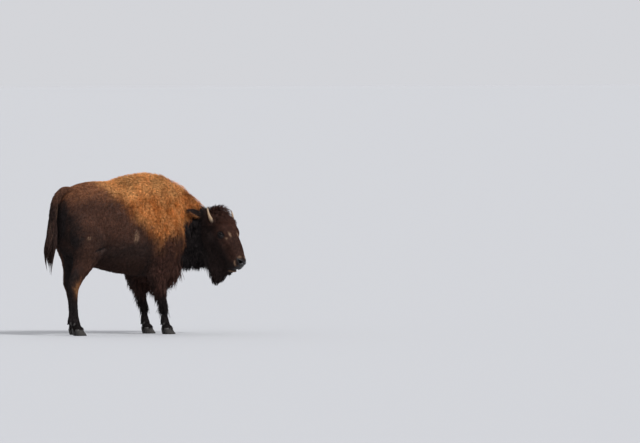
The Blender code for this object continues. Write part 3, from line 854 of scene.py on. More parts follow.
def with_shells(obj, shells):
    """Adds closed shells to the object's mesh. The organ attribute says which each point belongs to."""
    bm = bmesh.new()
    bm.from_mesh(obj.data)
    marks = [np.zeros(len(bm.verts))]
    for mark, (verts, quads, tris) in shells:
        shell = new_object("shell", verts, quads, tris)
        bm.from_mesh(shell.data)
        marks.append(np.full(len(verts), mark))
        bpy.data.objects.remove(shell)
    bm.to_mesh(obj.data)
    bm.free()
    store(obj.data, "organ", np.concatenate(marks))


def build_skin():
    """The flesh fused, slimmed and sunk by the coat's depth, divided finely and worked at the face,
    with the ears and the tail's dock as shells of their own."""
    skin = joined_flesh()
    remeshed(skin, SKIN_VOXEL)
    mesh = skin.data
    points = relaxed(points_of(mesh), edges_of(mesh), 1.0, 4)
    put_points(mesh, slimmed(points))
    sunk(mesh)
    remeshed(skin, SKIN_VOXEL)
    mesh = skin.data
    put_points(mesh, relaxed(points_of(mesh), edges_of(mesh), 1.0, 4))
    refined(skin, lambda p: face_region(p) | (p[:, 2] < 0.13))
    refined(skin, fine_region)
    refined(skin, lambda p: near_eye(p, 0.036))
    refined(skin, lambda p: near_eye(p, 0.030))
    sculpted(skin.data)
    shells = [(EAR_ORGAN, tube(ear_rings(hand))) for hand in HANDS]
    shells.append((DOCK_ORGAN, tube(dock_rings())))
    with_shells(skin, shells)
    skin.data.polygons.foreach_set("use_smooth", np.ones(len(skin.data.polygons), bool))
    unwrapped(skin)
    return skin


def unwrapped(obj):
    """Unfolds the object's own shape into the map that its bakes use."""
    for layer in list(obj.data.uv_layers):
        obj.data.uv_layers.remove(layer)
    obj.data.uv_layers.new(name="OFBake")
    bpy.context.view_layer.objects.active = obj
    obj.select_set(True)
    bpy.ops.object.mode_set(mode="EDIT")
    bpy.ops.mesh.select_all(action="SELECT")
    bpy.ops.uv.smart_project(angle_limit=1.15, island_margin=0.004)
    bpy.ops.object.mode_set(mode="OBJECT")
    obj.select_set(False)


# ---- markings


# Old scars on the right side: place along the trunk, height, half length, half height, strength.
SCARS = (
    (-0.262, 0.927, 0.022, 0.040, 0.80),
    (-0.075, 1.022, 0.016, 0.013, 0.45),
    (-0.775, 0.918, 0.018, 0.011, 0.75),
    (-0.960, 1.195, 0.022, 0.030, 0.30),
)


def markings(points, organ):
    """The coat's colours as masks from 0 to 1, by name: gold, rust, tan back, dark and pale, and
    how bare and how wet the skin is. The dark mask also carries painted shade in the flank's fold,
    behind the elbow, at the rear and inner side of the thighs and beside the tail. The face's front
    is lightened with painted sheen, and the muzzle's tan rim carries a painted highlight. Each is a
    product of smooth steps over places, broken by noise."""
    place = body_place(points)
    x, y, z = place.T
    a, l, b = head_place(points).T
    side = np.abs(y)
    patch = lattice_noise(points, 0.11, PATCH_SEED) - 0.5
    fine = lattice_noise(points, 0.035, FINE_SEED) - 0.5
    stray = 0.10 * patch + 0.05 * fine
    head = head_mask(points)
    # The dark neck under its gold crest, the gold cape, the rust shoulder and the tan back.
    neck = ease(-0.025, 0.04, neck_front(place) + stray * 0.6)
    crest = ease(-0.02, 0.03, z - neck_top(x, y) + stray * 0.4)
    dark_neck = np.maximum(neck * (1 - crest), head)
    behind = x - cape_edge(z) + stray
    gold = ease(-0.15, 0.17, behind) * ease(0.70, 1.02, z + 1.6 * stray) * (1 - dark_neck)
    gold = gold * (1 - 0.5 * ease(0.18, 0.32, x) * ease(1.02, 0.92, z))
    gold = gold * (1 - 0.20 * ease(0.30, 0.44, x)) * (1 - 0.18 * ease(1.15, 1.00, z))
    rust = ease(-0.10, 0.06, x) * ease(0.42, 0.56, z) * ease(1.00, 0.84, z) * ease(0.36, 0.30, x)
    back = ease(1.20, 1.38, z + stray * 0.8) * (1 - head)
    back = back * ease(0.46, 0.30, x) * (1 - 0.25 * ease(-0.5, -0.75, x))
    # Flank and belly are dusky but for the stifle. The rear of the thighs and the rump beside the
    # tail are dark hair deepened with painted shade, the inner thighs get painted shade, the legs are
    # dark, and the hock is pale.
    flank = ease(1.02, 0.80, z + stray)
    thigh = 0.97 * ease(-0.78, -0.95, x + stray) * ease(1.26, 1.08, z + stray * 0.5)
    mid = bell(x, -0.76, 0.10) * bell(z, 0.80, 0.22) + bell(x, -0.78, 0.10) * bell(z, 0.55, 0.14)
    dusk = 0.70 - 0.16 * ease(0.78, 0.68, z) * ease(-0.05, -0.15, x)
    dark = np.maximum(dark_neck, dusk * flank * (1 - 0.65 * np.clip(mid, 0, 1)))
    dark = np.maximum(dark, thigh)
    # Dark hair with painted shade beside the tail, and painted shade on the inner thighs, which face away
    # from the light.
    beside_tail_dark_and_shade = ease(-0.87, -0.93, x + 0.4 * stray) * ease(1.36, 1.29, z)
    inner_thigh_shade = ease(0.18, 0.14, side) * ease(-0.50, -0.60, x) * ease(0.84, 0.74, z)
    dark = np.maximum(dark, 0.97 * np.maximum(beside_tail_dark_and_shade * ease(0.34, 0.44, z), inner_thigh_shade))
    legs = np.maximum(ease(0.50, 0.40, z), ease(0.62, 0.52, z) * bell(x, -0.06, 0.12))
    near_hock = bell(z, 0.44, 0.08) * ease(-0.6, -0.7, x)
    dark = np.maximum(dark, legs * (1 - 0.9 * near_hock))
    back = np.maximum(back, near_hock * bell(x, -0.86, 0.07))
    gold = np.maximum(gold, 0.5 * near_hock * bell(x, -0.86, 0.05))
    # The shade lies on the fold's upper lip, which faces down.
    fold = bell(x, FOLD_X, 0.080) * bell(above_fold(x, z), FOLD_SHADE_Z, 0.015)
    dark = np.maximum(dark, np.clip(2.0 * fold, 0, 1))
    # The shade behind the elbow.
    elbow = bell(x, -0.075, 0.042) * ease(0.93, 0.84, z + stray) * ease(0.40, 0.50, z)
    dark = np.maximum(dark, 0.8 * elbow)
    # The dock is darker than the rump, and an ear's lower edge is golden.
    dark = np.where(organ == DOCK_ORGAN, (0.60 + 0.14 * ease(1.34, 1.12, z)) * ease(-0.78, -0.88, x), dark)
    lower = ease(0.004, 0.020, ear_drop(points))
    dark = np.where(organ == EAR_ORGAN, 0.85 * (1 - lower), dark)
    gold = np.where(organ == EAR_ORGAN, 0.36 * lower, gold)
    # The forehead and the crown are a little redder than the cheeks.
    brow = head * ease(0.05, 0.12, a) * ease(0.34, 0.26, a) * ease(0.005, 0.06, b)
    # Painted sheen: the face's front, where the light falls, is lighter and redder than the shaded cheeks.
    front = head * ease(0.10, 0.20, a) * ease(-0.06, 0.03, b) * ease(0.53, 0.49, a)
    rust = np.maximum(rust * (1 - dark_neck), np.maximum(0.60 * brow, 0.40 * front))
    dark = dark * (1 - 0.45 * brow)
    dark = dark * (1 - 0.36 * front * (1 - brow))
    top = head * ease(0.16, 0.04, a) * ease(-0.06, 0.02, b)
    rust = np.maximum(rust, 0.8 * top)
    dark = dark * (1 - 0.14 * head) * (1 - 0.24 * top)
    # The muzzle's tan rim runs back along its upper edge: tan hair, brightened with a painted highlight.
    # The lip, brow and lid have tan spots.
    off, aside = mouth_gap(a, b), np.abs(l)
    along_rim = (a - 0.518) * 0.88 - (b - 0.038) * 0.48
    from_rim = (a - 0.518) * 0.48 + (b - 0.038) * 0.88
    rim = bell(from_rim, 0.0, 0.009) * ease(-0.010, 0.004, along_rim) * ease(0.060, 0.046, along_rim)
    rim = 1.1 * rim * ease(0.040, 0.050, aside) * (0.7 + 1.2 * np.abs(fine))
    rim += 0.90 * bell(a, 0.578, 0.010) * bell(b, 0.032, 0.009) * bell(aside, 0.047, 0.014)
    rim += 0.95 * bell(a, 0.502, 0.011) * bell(aside, 0.038, 0.018) * ease(0.05, 0.07, b)
    under_lip = ease(0.548, 0.566, a) * bell(off, -0.015, 0.007)
    spot = bell(a, 0.265, 0.024) * bell(b, 0.090, 0.011) * bell(aside, 0.058, 0.012)
    lid = bell(a, 0.290, 0.010) * bell(b, 0.060, 0.010) * ease(0.07, 0.09, aside)
    pale = np.clip(head * (rim + 1.0 * under_lip + 1.2 * spot + 1.0 * lid), 0, 1)
    # The nose pad, the lips' edge and the skin round the nostrils are bare and wet, the lids only bare.
    pad = ease(0.520, 0.534, a) * ease(0.004, 0.012, off) * ease(0.088, 0.076, b) * ease(0.058, 0.044, aside)
    edge = ease(0.50, 0.54, a) * bell(off, 0.002, 0.0055)
    bare = head * np.maximum(pad * (1 - np.clip(1.6 * rim, 0, 1)), edge)
    for hand in HANDS:
        round_it = ease(1.9, 1.5, nostril_measure(np.stack([a, l, b], 1), hand)[0])
        bare = np.maximum(bare, head * round_it * ease(0.485, 0.505, a))
    pale = pale * (1 - bare)
    wet = bare.copy()
    for mark_x, mark_z, long, tall, depth in SCARS:
        ring = bell(np.hypot((x - mark_x) / long, (z - mark_z) / tall), 0.75, 0.45)
        pale = np.maximum(pale, (y < 0) * depth * ring)
    for hand in HANDS:
        size = eye_measure(points, hand)[3]
        away = np.linalg.norm(points - head_point(EYE_PLACE, hand), axis=1)
        bare = np.maximum(bare, (away < 0.045) * ease(1.60, 1.25, size))
        dark = np.maximum(dark, ease(0.062, 0.030, away) * (1 - pale))
    return {"gold": gold, "rust": rust, "back": back, "dark": dark, "pale": pale, "bare": bare, "wet": wet}


def mark(mesh, points, organ, spread=None):
    """Stores the markings at a mesh's points. spread repeats each value over a lock's points."""
    for name, values in markings(points, organ).items():
        store(mesh, name, values if spread is None else np.repeat(values, spread))


# ---- materials


def named_group(name, inputs, outputs):
    """A node group with its sockets: each input is (name, kind, default)."""
    group = bpy.data.node_groups.new(name, "ShaderNodeTree")
    for label, kind, default in inputs:
        made = group.interface.new_socket(label, in_out="INPUT", socket_type=f"NodeSocket{kind}")
        made.default_value = default
    for label, kind in outputs:
        group.interface.new_socket(label, in_out="OUTPUT", socket_type=f"NodeSocket{kind}")
    return group, group.nodes.new("NodeGroupInput"), group.nodes.new("NodeGroupOutput")


def feed(tree, given, socket):
    """Links a socket to another one, or sets a plain value on it."""
    if isinstance(given, bpy.types.NodeSocket):
        tree.links.new(given, socket)
    else:
        socket.default_value = given


def mixed(tree, factor, first, second, mode="MIX"):
    """A colour mix node. Each of its inputs is a socket or a value."""
    node = tree.nodes.new("ShaderNodeMix")
    node.data_type = "RGBA"
    node.blend_type = mode
    feed(tree, factor, node.inputs[0])
    for socket, given in ((node.inputs[6], first), (node.inputs[7], second)):
        feed(tree, given if isinstance(given, bpy.types.NodeSocket) else (*given, 1), socket)
    return node.outputs[2]


def sum_of(tree, operation, first, second=0.0, third=0.0):
    """A number worked out by a Math node. Each of its inputs is a socket or a value."""
    node = tree.nodes.new("ShaderNodeMath")
    node.operation = operation
    for socket, given in zip(node.inputs, (first, second, third)):
        feed(tree, given, socket)
    return node.outputs[0]


def length_of(tree, first, second):
    """The square root of the sum of two squares."""
    squares = [sum_of(tree, "POWER", given, 2.0) for given in (first, second)]
    return sum_of(tree, "SQRT", sum_of(tree, "ADD", *squares))


def spread_of(tree, value, low, high, to_low=0.0, to_high=1.0):
    """A number carried from the range low to high to another range, and held inside it."""
    node = tree.nodes.new("ShaderNodeMapRange")
    feed(tree, value, node.inputs["Value"])
    for label, given in (("From Min", low), ("From Max", high), ("To Min", to_low), ("To Max", to_high)):
        node.inputs[label].default_value = given
    return node.outputs["Result"]


def noise_of(tree, vector, scale, detail, roughness=0.55):
    """Noise from 0 to 1 at the places that a vector gives."""
    node = tree.nodes.new("ShaderNodeTexNoise")
    feed(tree, vector, node.inputs["Vector"])
    node.inputs["Scale"].default_value = scale
    node.inputs["Detail"].default_value = detail
    node.inputs["Roughness"].default_value = roughness
    return node.outputs["Fac"]


def streaks_of(tree, place, scales, detail, roughness=0.55):
    """Noise drawn out into streaks: each axis has a scale of its own."""
    stretch = tree.nodes.new("ShaderNodeMapping")
    stretch.inputs["Scale"].default_value = scales
    feed(tree, place, stretch.inputs["Vector"])
    return noise_of(tree, stretch.outputs["Vector"], 1.0, detail, roughness)


MASKS = ("Gold", "Rust", "Back", "Dark", "Pale")
# Painted shade in the grooves between the nose's pebbles.
LEATHER_GROOVE_SHADE = (0.005, 0.0045, 0.0045)
LID_WET = (0.010, 0.008, 0.008)
HORN_STREAK, HORN_ROOT, HORN_TIP = (0.25, 0.165, 0.10), (0.16, 0.13, 0.10), (0.035, 0.027, 0.022)
HOOF_BAND = (0.030, 0.025, 0.021)
PUPIL, EYE_RIM = (0.0015, 0.0015, 0.002), (0.008, 0.006, 0.005)
IRIS_INNER, IRIS_OUTER = (0.011, 0.006, 0.004), (0.004, 0.003, 0.0025)


def coat_colour_group(colours):
    """Colour of the coat from its masks, its tone and the place from root to tip. The masks lay their
    colours over umber in turn, and soft blotches, flecks and tone then darken or lighten it. The place
    from root to tip adds painted shade of the coat's depth: darker at the root, lighter at the tip."""
    inputs = [(label, "Float", 0.0) for label in MASKS]
    inputs += [("Tone", "Float", 0.5), ("Tip", "Float", 0.5), ("Place", "Vector", (0, 0, 0))]
    group, given, out = named_group("Coat Colour", inputs, [("Colour", "Color")])
    made = mixed(group, given.outputs["Back"], colours.umber, colours.back)
    made = mixed(group, given.outputs["Rust"], made, colours.rust)
    blotch = noise_of(group, given.outputs["Place"], 9.0, 3.0)
    patchy = sum_of(group, "MULTIPLY", spread_of(group, blotch, 0.40, 0.62), 0.42)
    paler = sum_of(group, "MULTIPLY_ADD", given.outputs["Back"], 0.50, patchy)
    gold = mixed(group, paler, colours.gold, colours.straw)
    made = mixed(group, given.outputs["Gold"], made, gold)
    made = mixed(group, given.outputs["Dark"], made, colours.black)
    made = mixed(group, given.outputs["Pale"], made, colours.tan)
    patch = spread_of(group, noise_of(group, given.outputs["Place"], 6.0, 4.0, 0.62), 0.3, 0.7, 0.72, 1.25)
    tone = spread_of(group, given.outputs["Tone"], 0.0, 1.0, 0.78, 1.24)
    # Painted shade of the coat's depth: darker at the root, lighter at the tip.
    tip = spread_of(group, given.outputs["Tip"], 0.0, 1.0, 0.68, 1.18)
    fleck = spread_of(group, noise_of(group, given.outputs["Place"], 40.0, 2.0), 0.36, 0.64, 0.76, 1.26)
    factor = sum_of(group, "MULTIPLY", sum_of(group, "MULTIPLY", patch, tone), tip)
    factor = sum_of(group, "MULTIPLY", factor, fleck)
    made = mixed(group, 1.0, made, factor, "MULTIPLY")
    feed(group, made, out.inputs["Colour"])
    return group


def attribute(tree, name):
    """A number stored at the mesh's points."""
    node = tree.nodes.new("ShaderNodeAttribute")
    node.attribute_name = name
    return node.outputs["Fac"]


def object_place(tree):
    """Object coordinates."""
    return tree.nodes.new("ShaderNodeTexCoord").outputs["Object"]


def new_material(name, roughness, specular):
    """A material, its node tree and its shader."""
    made = bpy.data.materials.new(name)
    made.use_nodes = True
    shader = made.node_tree.nodes["Principled BSDF"]
    shader.inputs["Roughness"].default_value = roughness
    shader.inputs["Specular IOR Level"].default_value = specular
    return made, made.node_tree, shader


def bumped(tree, shader, height, distance, strength):
    """Bends the shader's normals by a height."""
    bump = tree.nodes.new("ShaderNodeBump")
    feed(tree, height, bump.inputs["Height"])
    bump.inputs["Distance"].default_value = distance
    bump.inputs["Strength"].default_value = strength
    feed(tree, bump.outputs["Normal"], shader.inputs["Normal"])


def coat_colour(tree, group, tone, tip, place):
    """The shared group placed in a material, fed with the markings stored on the mesh."""
    node = tree.nodes.new("ShaderNodeGroup")
    node.node_tree = group
    given = {label: attribute(tree, label.lower()) for label in MASKS}
    for label, value in {**given, "Tone": tone, "Tip": tip, "Place": place}.items():
        feed(tree, value, node.inputs[label])
    return node.outputs["Colour"]


def fur_material(group):
    """Locks: colour from the shared group, with fine strands along each lock. Strands are noise
    stretched from root to tip, and a lock's tone gives it a slice of the noise of its own."""
    made, tree, shader = new_material("fur", 0.80, 0.14)
    across, tone, tip = (attribute(tree, name) for name in ("across", "tone", "tip"))
    colour = coat_colour(tree, group, tone, tip, object_place(tree))
    spot = tree.nodes.new("ShaderNodeCombineXYZ")
    for socket, value, scale in zip(spot.inputs, (across, tone, tip), (3.2, 57.0, 1.1)):
        feed(tree, sum_of(tree, "MULTIPLY", value, scale), socket)
    strand = noise_of(tree, spot.outputs[0], 2.4, 2.0, 0.5)
    shade = spread_of(tree, strand, 0.38, 0.62, 0.66, 1.30)
    feed(tree, mixed(tree, 1.0, colour, shade, "MULTIPLY"), shader.inputs["Base Color"])
    bumped(tree, shader, strand, 0.0016, 0.8)
    return made


def hide_material(group, colours):
    """Skin: the coat's colours under the locks, darkened with painted shade as at the locks' roots,
    with hair-like bump, and pebbled leather where no hair grows, smooth and glossy, with painted
    shade in the grooves between the pebbles."""
    made, tree, shader = new_material("hide", 0.8, 0.32)
    place = object_place(tree)
    grain = streaks_of(tree, place, (420, 420, 70), 2.0, 0.6)
    # The skin takes the painted shade of the locks' roots.
    colour = coat_colour(tree, group, grain, 0.15, place)
    bare = attribute(tree, "bare")
    voronoi = tree.nodes.new("ShaderNodeTexVoronoi")
    voronoi.feature = "SMOOTH_F1"
    voronoi.inputs["Scale"].default_value = 300.0
    feed(tree, place, voronoi.inputs["Vector"])
    pebble = spread_of(tree, voronoi.outputs["Distance"], 0.15, 0.75, 1.0, 0.0)
    # The grooves between the pebbles are darker: painted shade.
    leather = mixed(tree, pebble, LEATHER_GROOVE_SHADE, colours.leather)
    feed(tree, mixed(tree, bare, colour, leather), shader.inputs["Base Color"])
    feed(tree, spread_of(tree, bare, 0.0, 1.0, 0.85, 0.25), shader.inputs["Roughness"])
    height = tree.nodes.new("ShaderNodeMix")
    height.data_type = "FLOAT"
    feed(tree, bare, height.inputs[0])
    feed(tree, grain, height.inputs[2])
    feed(tree, sum_of(tree, "MULTIPLY", pebble, attribute(tree, "wet")), height.inputs[3])
    bumped(tree, shader, height.outputs[0], 0.0012, 0.5)
    return made


# ---- locks


ROOT_CELL = 0.03  # side of the cubes of space that roots are drawn from in turn


class Roots:
    """Places on the skin where locks grow, with all that the skin says there."""

    def __init__(self, skin, crowd_at, seed):
        """Draws faces by area times crowd_at, evenly over cubes of space, and a point on each."""
        mesh = skin.data
        mesh.calc_loop_triangles()
        corners = gathered(mesh.loop_triangles, "vertices", 3, np.int32)
        loops = gathered(mesh.loop_triangles, "loops", 3, np.int32)
        uv = gathered(mesh.uv_layers["OFBake"].data, "uv", 2).astype(float)
        points, normals, organ = points_of(mesh), normals_of(mesh), read(mesh, "organ")
        p = points[corners]
        area = np.linalg.norm(np.cross(p[:, 1] - p[:, 0], p[:, 2] - p[:, 0]), axis=1) / 2
        middle = p.mean(1)
        weight = area * crowd_at(middle, organ[corners[:, 0]])
        cell = np.floor(middle / ROOT_CELL).astype(np.int64)
        order = np.lexsort((cell[:, 0], cell[:, 1], cell[:, 2]))
        total = np.cumsum(weight[order])
        amount = int(total[-1])
        rng = np.random.default_rng(seed)
        pick = (np.arange(amount) + rng.random(amount)) * (total[-1] / amount)
        face = order[np.minimum(np.searchsorted(total, pick), len(corners) - 1)]
        u, v = rng.random((2, amount))
        flip = u + v > 1
        u, v = np.where(flip, 1 - u, u), np.where(flip, 1 - v, v)
        share = np.stack([1 - u - v, u, v], 1)[..., None]
        self.points = (points[corners[face]] * share).sum(1)
        self.normals = unit((normals[corners[face]] * share).sum(1))
        self.uv = (uv[loops[face]] * share).sum(1)
        self.organ = organ[corners[face, 0]]
        self.chance = rng.random((amount, 8))

    def only(self, keep):
        """The same roots with only the kept ones."""
        kept = object.__new__(Roots)
        for name, value in self.__dict__.items():
            setattr(kept, name, value[keep])
        return kept

    def __len__(self):
        return len(self.points)


def coat_lie(points, normals, organ):
    """Which way the hair lies: back and down over the trunk, down the neck and limbs, from the brow
    down the face, out along the ears and down the tail, always flat to the skin."""
    place = body_place(points)
    x, _, z = place.T
    _, l, b = head_place(points).T
    head = head_mask(points)[:, None]
    steep = ease(1.42, 1.20, z)[:, None]
    way = np.array((-1.0, 0.0, -0.10)) * (1 - steep) + np.array((-0.62, 0.0, -0.80)) * steep
    limb = ease(0.75, 0.50, z)[:, None]
    way = way * (1 - limb) + np.array((-0.16, 0.0, -1.0)) * limb
    neck = ease(0.15, 0.40, x)[:, None]
    way = way * (1 - neck) + np.array((-0.30, 0.0, -0.95)) * neck
    hand = np.sign(l)[:, None]
    face = ALONG * 0.95 + LEFT * hand * 0.25 * ease(0.02, 0.08, np.abs(l))[:, None] - BROW * 0.15
    cheek = -UP * 0.85 - FORWARD * 0.25 + ALONG * 0.2
    low = ease(0.00, -0.07, b)[:, None]
    facing = face * (1 - low) + cheek * low
    way = way * (1 - head) + facing * head
    out = unit(LEFT * hand * 0.87 - FORWARD * 0.34 + UP * 0.10)
    way = np.where((organ == EAR_ORGAN)[:, None], out, way)
    down = np.where(z[:, None] > 1.30, np.array((-0.9, 0.0, -0.3)), np.array((-0.1, 0.0, -1.0)))
    way = np.where((organ == DOCK_ORGAN)[:, None], down, way)
    flat = way - normals * (way * normals).sum(1, keepdims=True)
    return unit(flat)


CLUMP_BATCH = 2000  # roots measured against all the middles at once


def clump_pull(points, size, seed):
    """For each root, the way to the middle of its clump, and the clump's own numbers. The middles
    are some of the roots, one in every size of them, and each root joins the nearest."""
    rng = np.random.default_rng(seed)
    count = max(2, int(len(points) / size))
    middles = points[rng.choice(len(points), count, replace=False)]
    nearest = np.empty(len(points), int)
    for start in range(0, len(points), CLUMP_BATCH):
        part = points[start : start + CLUMP_BATCH]
        gap = (part**2).sum(1)[:, None] - 2 * part @ middles.T + (middles**2).sum(1)
        nearest[start : start + CLUMP_BATCH] = gap.argmin(1)
    return middles[nearest] - points, rng.random((count, 4))[nearest]


LOCK_FLAT = 0.42  # a lock's thickness, as a share of its width
LOCK_CORNERS = np.radians((90.0, 210.0, 330.0))


def rods(paths, facing, half_width, flat):
    """Closed three-sided locks, one along each path (n x k x 3). Each widens from its root and
    narrows to a point, and is flat times as thick as wide. Its ridge faces outwards. With them come
    the points in a lock, and how far along and across the lock each of those lies."""
    n, k, _ = paths.shape
    t = np.linspace(0, 1, k)
    tangent = unit(np.gradient(paths, axis=1))
    side = unit(np.cross(tangent, facing[:, None]))
    rise = np.cross(side, tangent)
    swell = (0.55 + 1.35 * t - 0.2 * t * t) * np.sqrt(np.clip(1 - t, 0, 1)) * 0.95
    half = half_width[:, None] * swell
    c, s = np.cos(LOCK_CORNERS)[None, None, :, None], np.sin(LOCK_CORNERS)[None, None, :, None]
    wide = half[:, :-1, None, None]
    rings = paths[:, :-1, None] + (side[:, :-1, None] * c * wide + rise[:, :-1, None] * s * wide * flat)
    verts = np.concatenate([rings.reshape(n, -1, 3), paths[:, -1:]], axis=1)
    per = verts.shape[1]
    last = (k - 2) * 3
    sides = ((0, 1), (1, 2), (2, 0))
    quads = [(i + a, i + b, i + b + 3, i + a + 3) for i in range(0, last, 3) for a, b in sides]
    tris = [(last + a, last + b, per - 1) for a, b in sides] + [(2, 1, 0)]
    start = (np.arange(n) * per)[:, None, None]
    tip = np.concatenate([np.repeat(t[:-1], 3), [1.0]])
    across = np.concatenate([np.tile((0.0, -1.0, 1.0), k - 1), [0.0]])
    return (
        verts.reshape(-1, 3),
        (np.array(quads) + start).reshape(-1, 4),
        (np.array(tris) + start).reshape(-1, 3),
        per,
        tip,
        across,
    )


def fur_paths(roots, fields, lie, sections, pull, clump):
    """Centre lines of locks: each leaves the skin, rises by its share of the coat's depth,
    then lies along the coat, waves, hangs and leans to its clump's middle."""
    t = np.linspace(0, 1, sections + 1)[None, :, None]
    chance = roots.chance
    length = fields["length"] * (0.72 + 0.5 * chance[:, 0])
    rise = fields["depth"] * fields["rise"] * (0.45 + 0.55 * chance[:, 1])
    rise = np.minimum(rise, length * 0.8)
    reach = np.sqrt(length**2 - rise**2)
    side = np.cross(roots.normals, lie)
    sway = (chance[:, 2] - 0.5) * 0.35 + (clump[:, 0] - 0.5) * (0.5 + 2.0 * fields["curl"])
    lie = unit(lie + side * sway[:, None])
    side = np.cross(roots.normals, lie)
    buried = np.clip(0.02 * length, 0.0002, 0.0015)
    path = roots.points[:, None] - (roots.normals * buried[:, None])[:, None]
    path = path + lie[:, None] * (reach[:, None, None] * t)
    path = path + roots.normals[:, None] * (rise[:, None, None] * (1 - (1 - t) ** 2.2))
    wave = (fields["curl"] * length)[:, None, None] * t
    turn = TAU * (0.9 * t + chance[:, 3][:, None, None])
    path = path + side[:, None] * wave * 0.8 * np.sin(turn)
    path = path + roots.normals[:, None] * wave * 0.45 * np.cos(turn)
    path = path - UP * (fields["hang"] * length)[:, None, None] * t**2
    lean = np.clip(fields["curl"] * 3.2, 0, 0.75)
    flat_pull = pull - roots.normals * (pull * roots.normals).sum(1, keepdims=True)
    return path + flat_pull[:, None] * lean[:, None, None] * t**1.5


def finished(made, material, slot, *nodes):
    """Gives a piece its material and body, and hides the nodes that it stands for. Its slot is not used."""
    made.data.materials.append(material)
    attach(made, "root")
    if nodes:
        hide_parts(*nodes)


def coat_piece(name, roots, paths, half_width, slot, material, tone, flat=LOCK_FLAT, nodes=()):
    """One piece of the coat: its locks, their markings, and each one's patch in the skin's map."""
    verts, quads, tris, per, tip, across = rods(paths, roots.normals, half_width, flat)
    made = new_object(name, verts, quads, tris)
    mesh = made.data
    mark(mesh, roots.points, roots.organ, per)
    n = len(roots)
    store(mesh, "tip", np.tile(tip, n))
    store(mesh, "across", np.tile(across, n))
    store(mesh, "tone", np.repeat(tone, per))
    spot = np.repeat(roots.uv, per, axis=0)
    spot = spot + BAKE_PATCH * 0.5 * np.stack([np.tile(across, n), np.tile(tip * 2 - 1, n)], 1)
    layer = mesh.uv_layers.new(name="OFBake")
    layer.data.foreach_set("uv", np.clip(spot, 0.0005, 0.9995)[corners_of(mesh)].astype(np.float32).ravel())
    finished(made, material, slot, *nodes)


# Name of the piece, the zones whose roots it takes, sections along each lock, slot.
COAT_PIECES = (
    ("coat_rump", ("rump",), 3, "body_coat"),
    ("coat_belly", ("belly",), 3, "body_coat"),
    ("coat_cape", ("cape", "ridge"), 3, "body_coat"),
    ("coat_shoulder", ("shoulder",), 3, "body_coat"),
    ("coat_neck", ("neck", "brisket", "dewlap"), 4, "dark_coat"),
    ("coat_crown", ("crown",), 4, "dark_coat"),
    ("coat_face", ("face", "muzzle"), 2, "dark_coat"),
    ("coat_cheeks", ("cheek", "jaw"), 4, "dark_coat"),
    ("coat_chaps", ("chaps",), 4, "dark_coat"),
    ("coat_shins", ("shin", "cuff"), 2, "dark_coat"),
    ("coat_ears", ("ear", "dock"), 3, "dark_coat"),
)
MOST_TRIANGLES = 195000
# Roots to a clump.
COAT_CLUMP, BEARD_CLUMP = 9.0, 16.0


def build_coat(skin, material, sizes):
    """The short coat, drawn from the skin at once and shared out into pieces by zone. A zone with more
    locks than a piece may hold is cut into strips from one side of the body to the other."""

    def crowd_at(points, organ):
        """Roots per square metre: the zones' own, less where the skin is bare."""
        fields, _ = coat_fields(points, organ)
        bare = markings(points, organ)["bare"]
        return sizes.crowd * fields["crowd"] * (1 - np.clip(bare * 1.6, 0, 1))

    roots = Roots(skin, crowd_at, COAT_SEED)
    fields, shares = coat_fields(roots.points, roots.organ)
    fields["length"] = fields["length"] * sizes.length
    kind = np.stack([shares[name] for name in ZONE_NAMES], 1).argmax(1)
    lie = coat_lie(roots.points, roots.normals, roots.organ)
    turn = np.argsort(roots.points[:, 1] - (roots.points[:, 0] * 0.001), kind="stable")
    for name, zones, sections, slot in COAT_PIECES:
        chosen = np.isin(kind, [ZONE_NAMES.index(z) for z in zones])
        per_lock = (sections - 1) * 6 + 4
        parts = int(np.ceil(chosen.sum() * per_lock / MOST_TRIANGLES))
        ordered = turn[chosen[turn]]
        for part, index in enumerate(np.array_split(ordered, max(1, parts))):
            own = roots.only(index)
            local = {key: value[index] for key, value in fields.items()}
            pull, clump = clump_pull(own.points, COAT_CLUMP, COAT_CLUMP_SEED + part)
            paths = fur_paths(own, local, lie[index], sections, pull, clump)
            half = local["width"] / 2 * (0.7 + 0.6 * own.chance[:, 4])
            tone = np.clip(0.35 * clump[:, 1] + 0.65 * own.chance[:, 5], 0, 1)
            title = name if parts <= 1 else f"{name}_{part + 1}"
            coat_piece(title, own, paths, half, slot, material, tone)


# The switch's line: height, place along the trunk, half width.
SWITCH = (
    (0.49, -1.030, 0.014),
    (0.60, -1.040, 0.030),
    (0.70, -1.045, 0.052),
    (0.785, -1.035, 0.064),
    (0.88, -1.012, 0.064),
    (0.97, -1.002, 0.054),
    (1.07, -1.004, 0.046),
    (1.25, -0.990, 0.034),
)
SWITCH_LOCKS = 34
# Strands grow below this height on the dock.
DOCK_BEND = 1.24
# Strands of the tail and the beard to a square metre, sections along each, and their flatness.
TAIL_CROWD, BEARD_CROWD = 20000.0, 15000.0
TAIL_SECTIONS, BEARD_SECTIONS = 9, 8
LONG_FLAT = 0.6


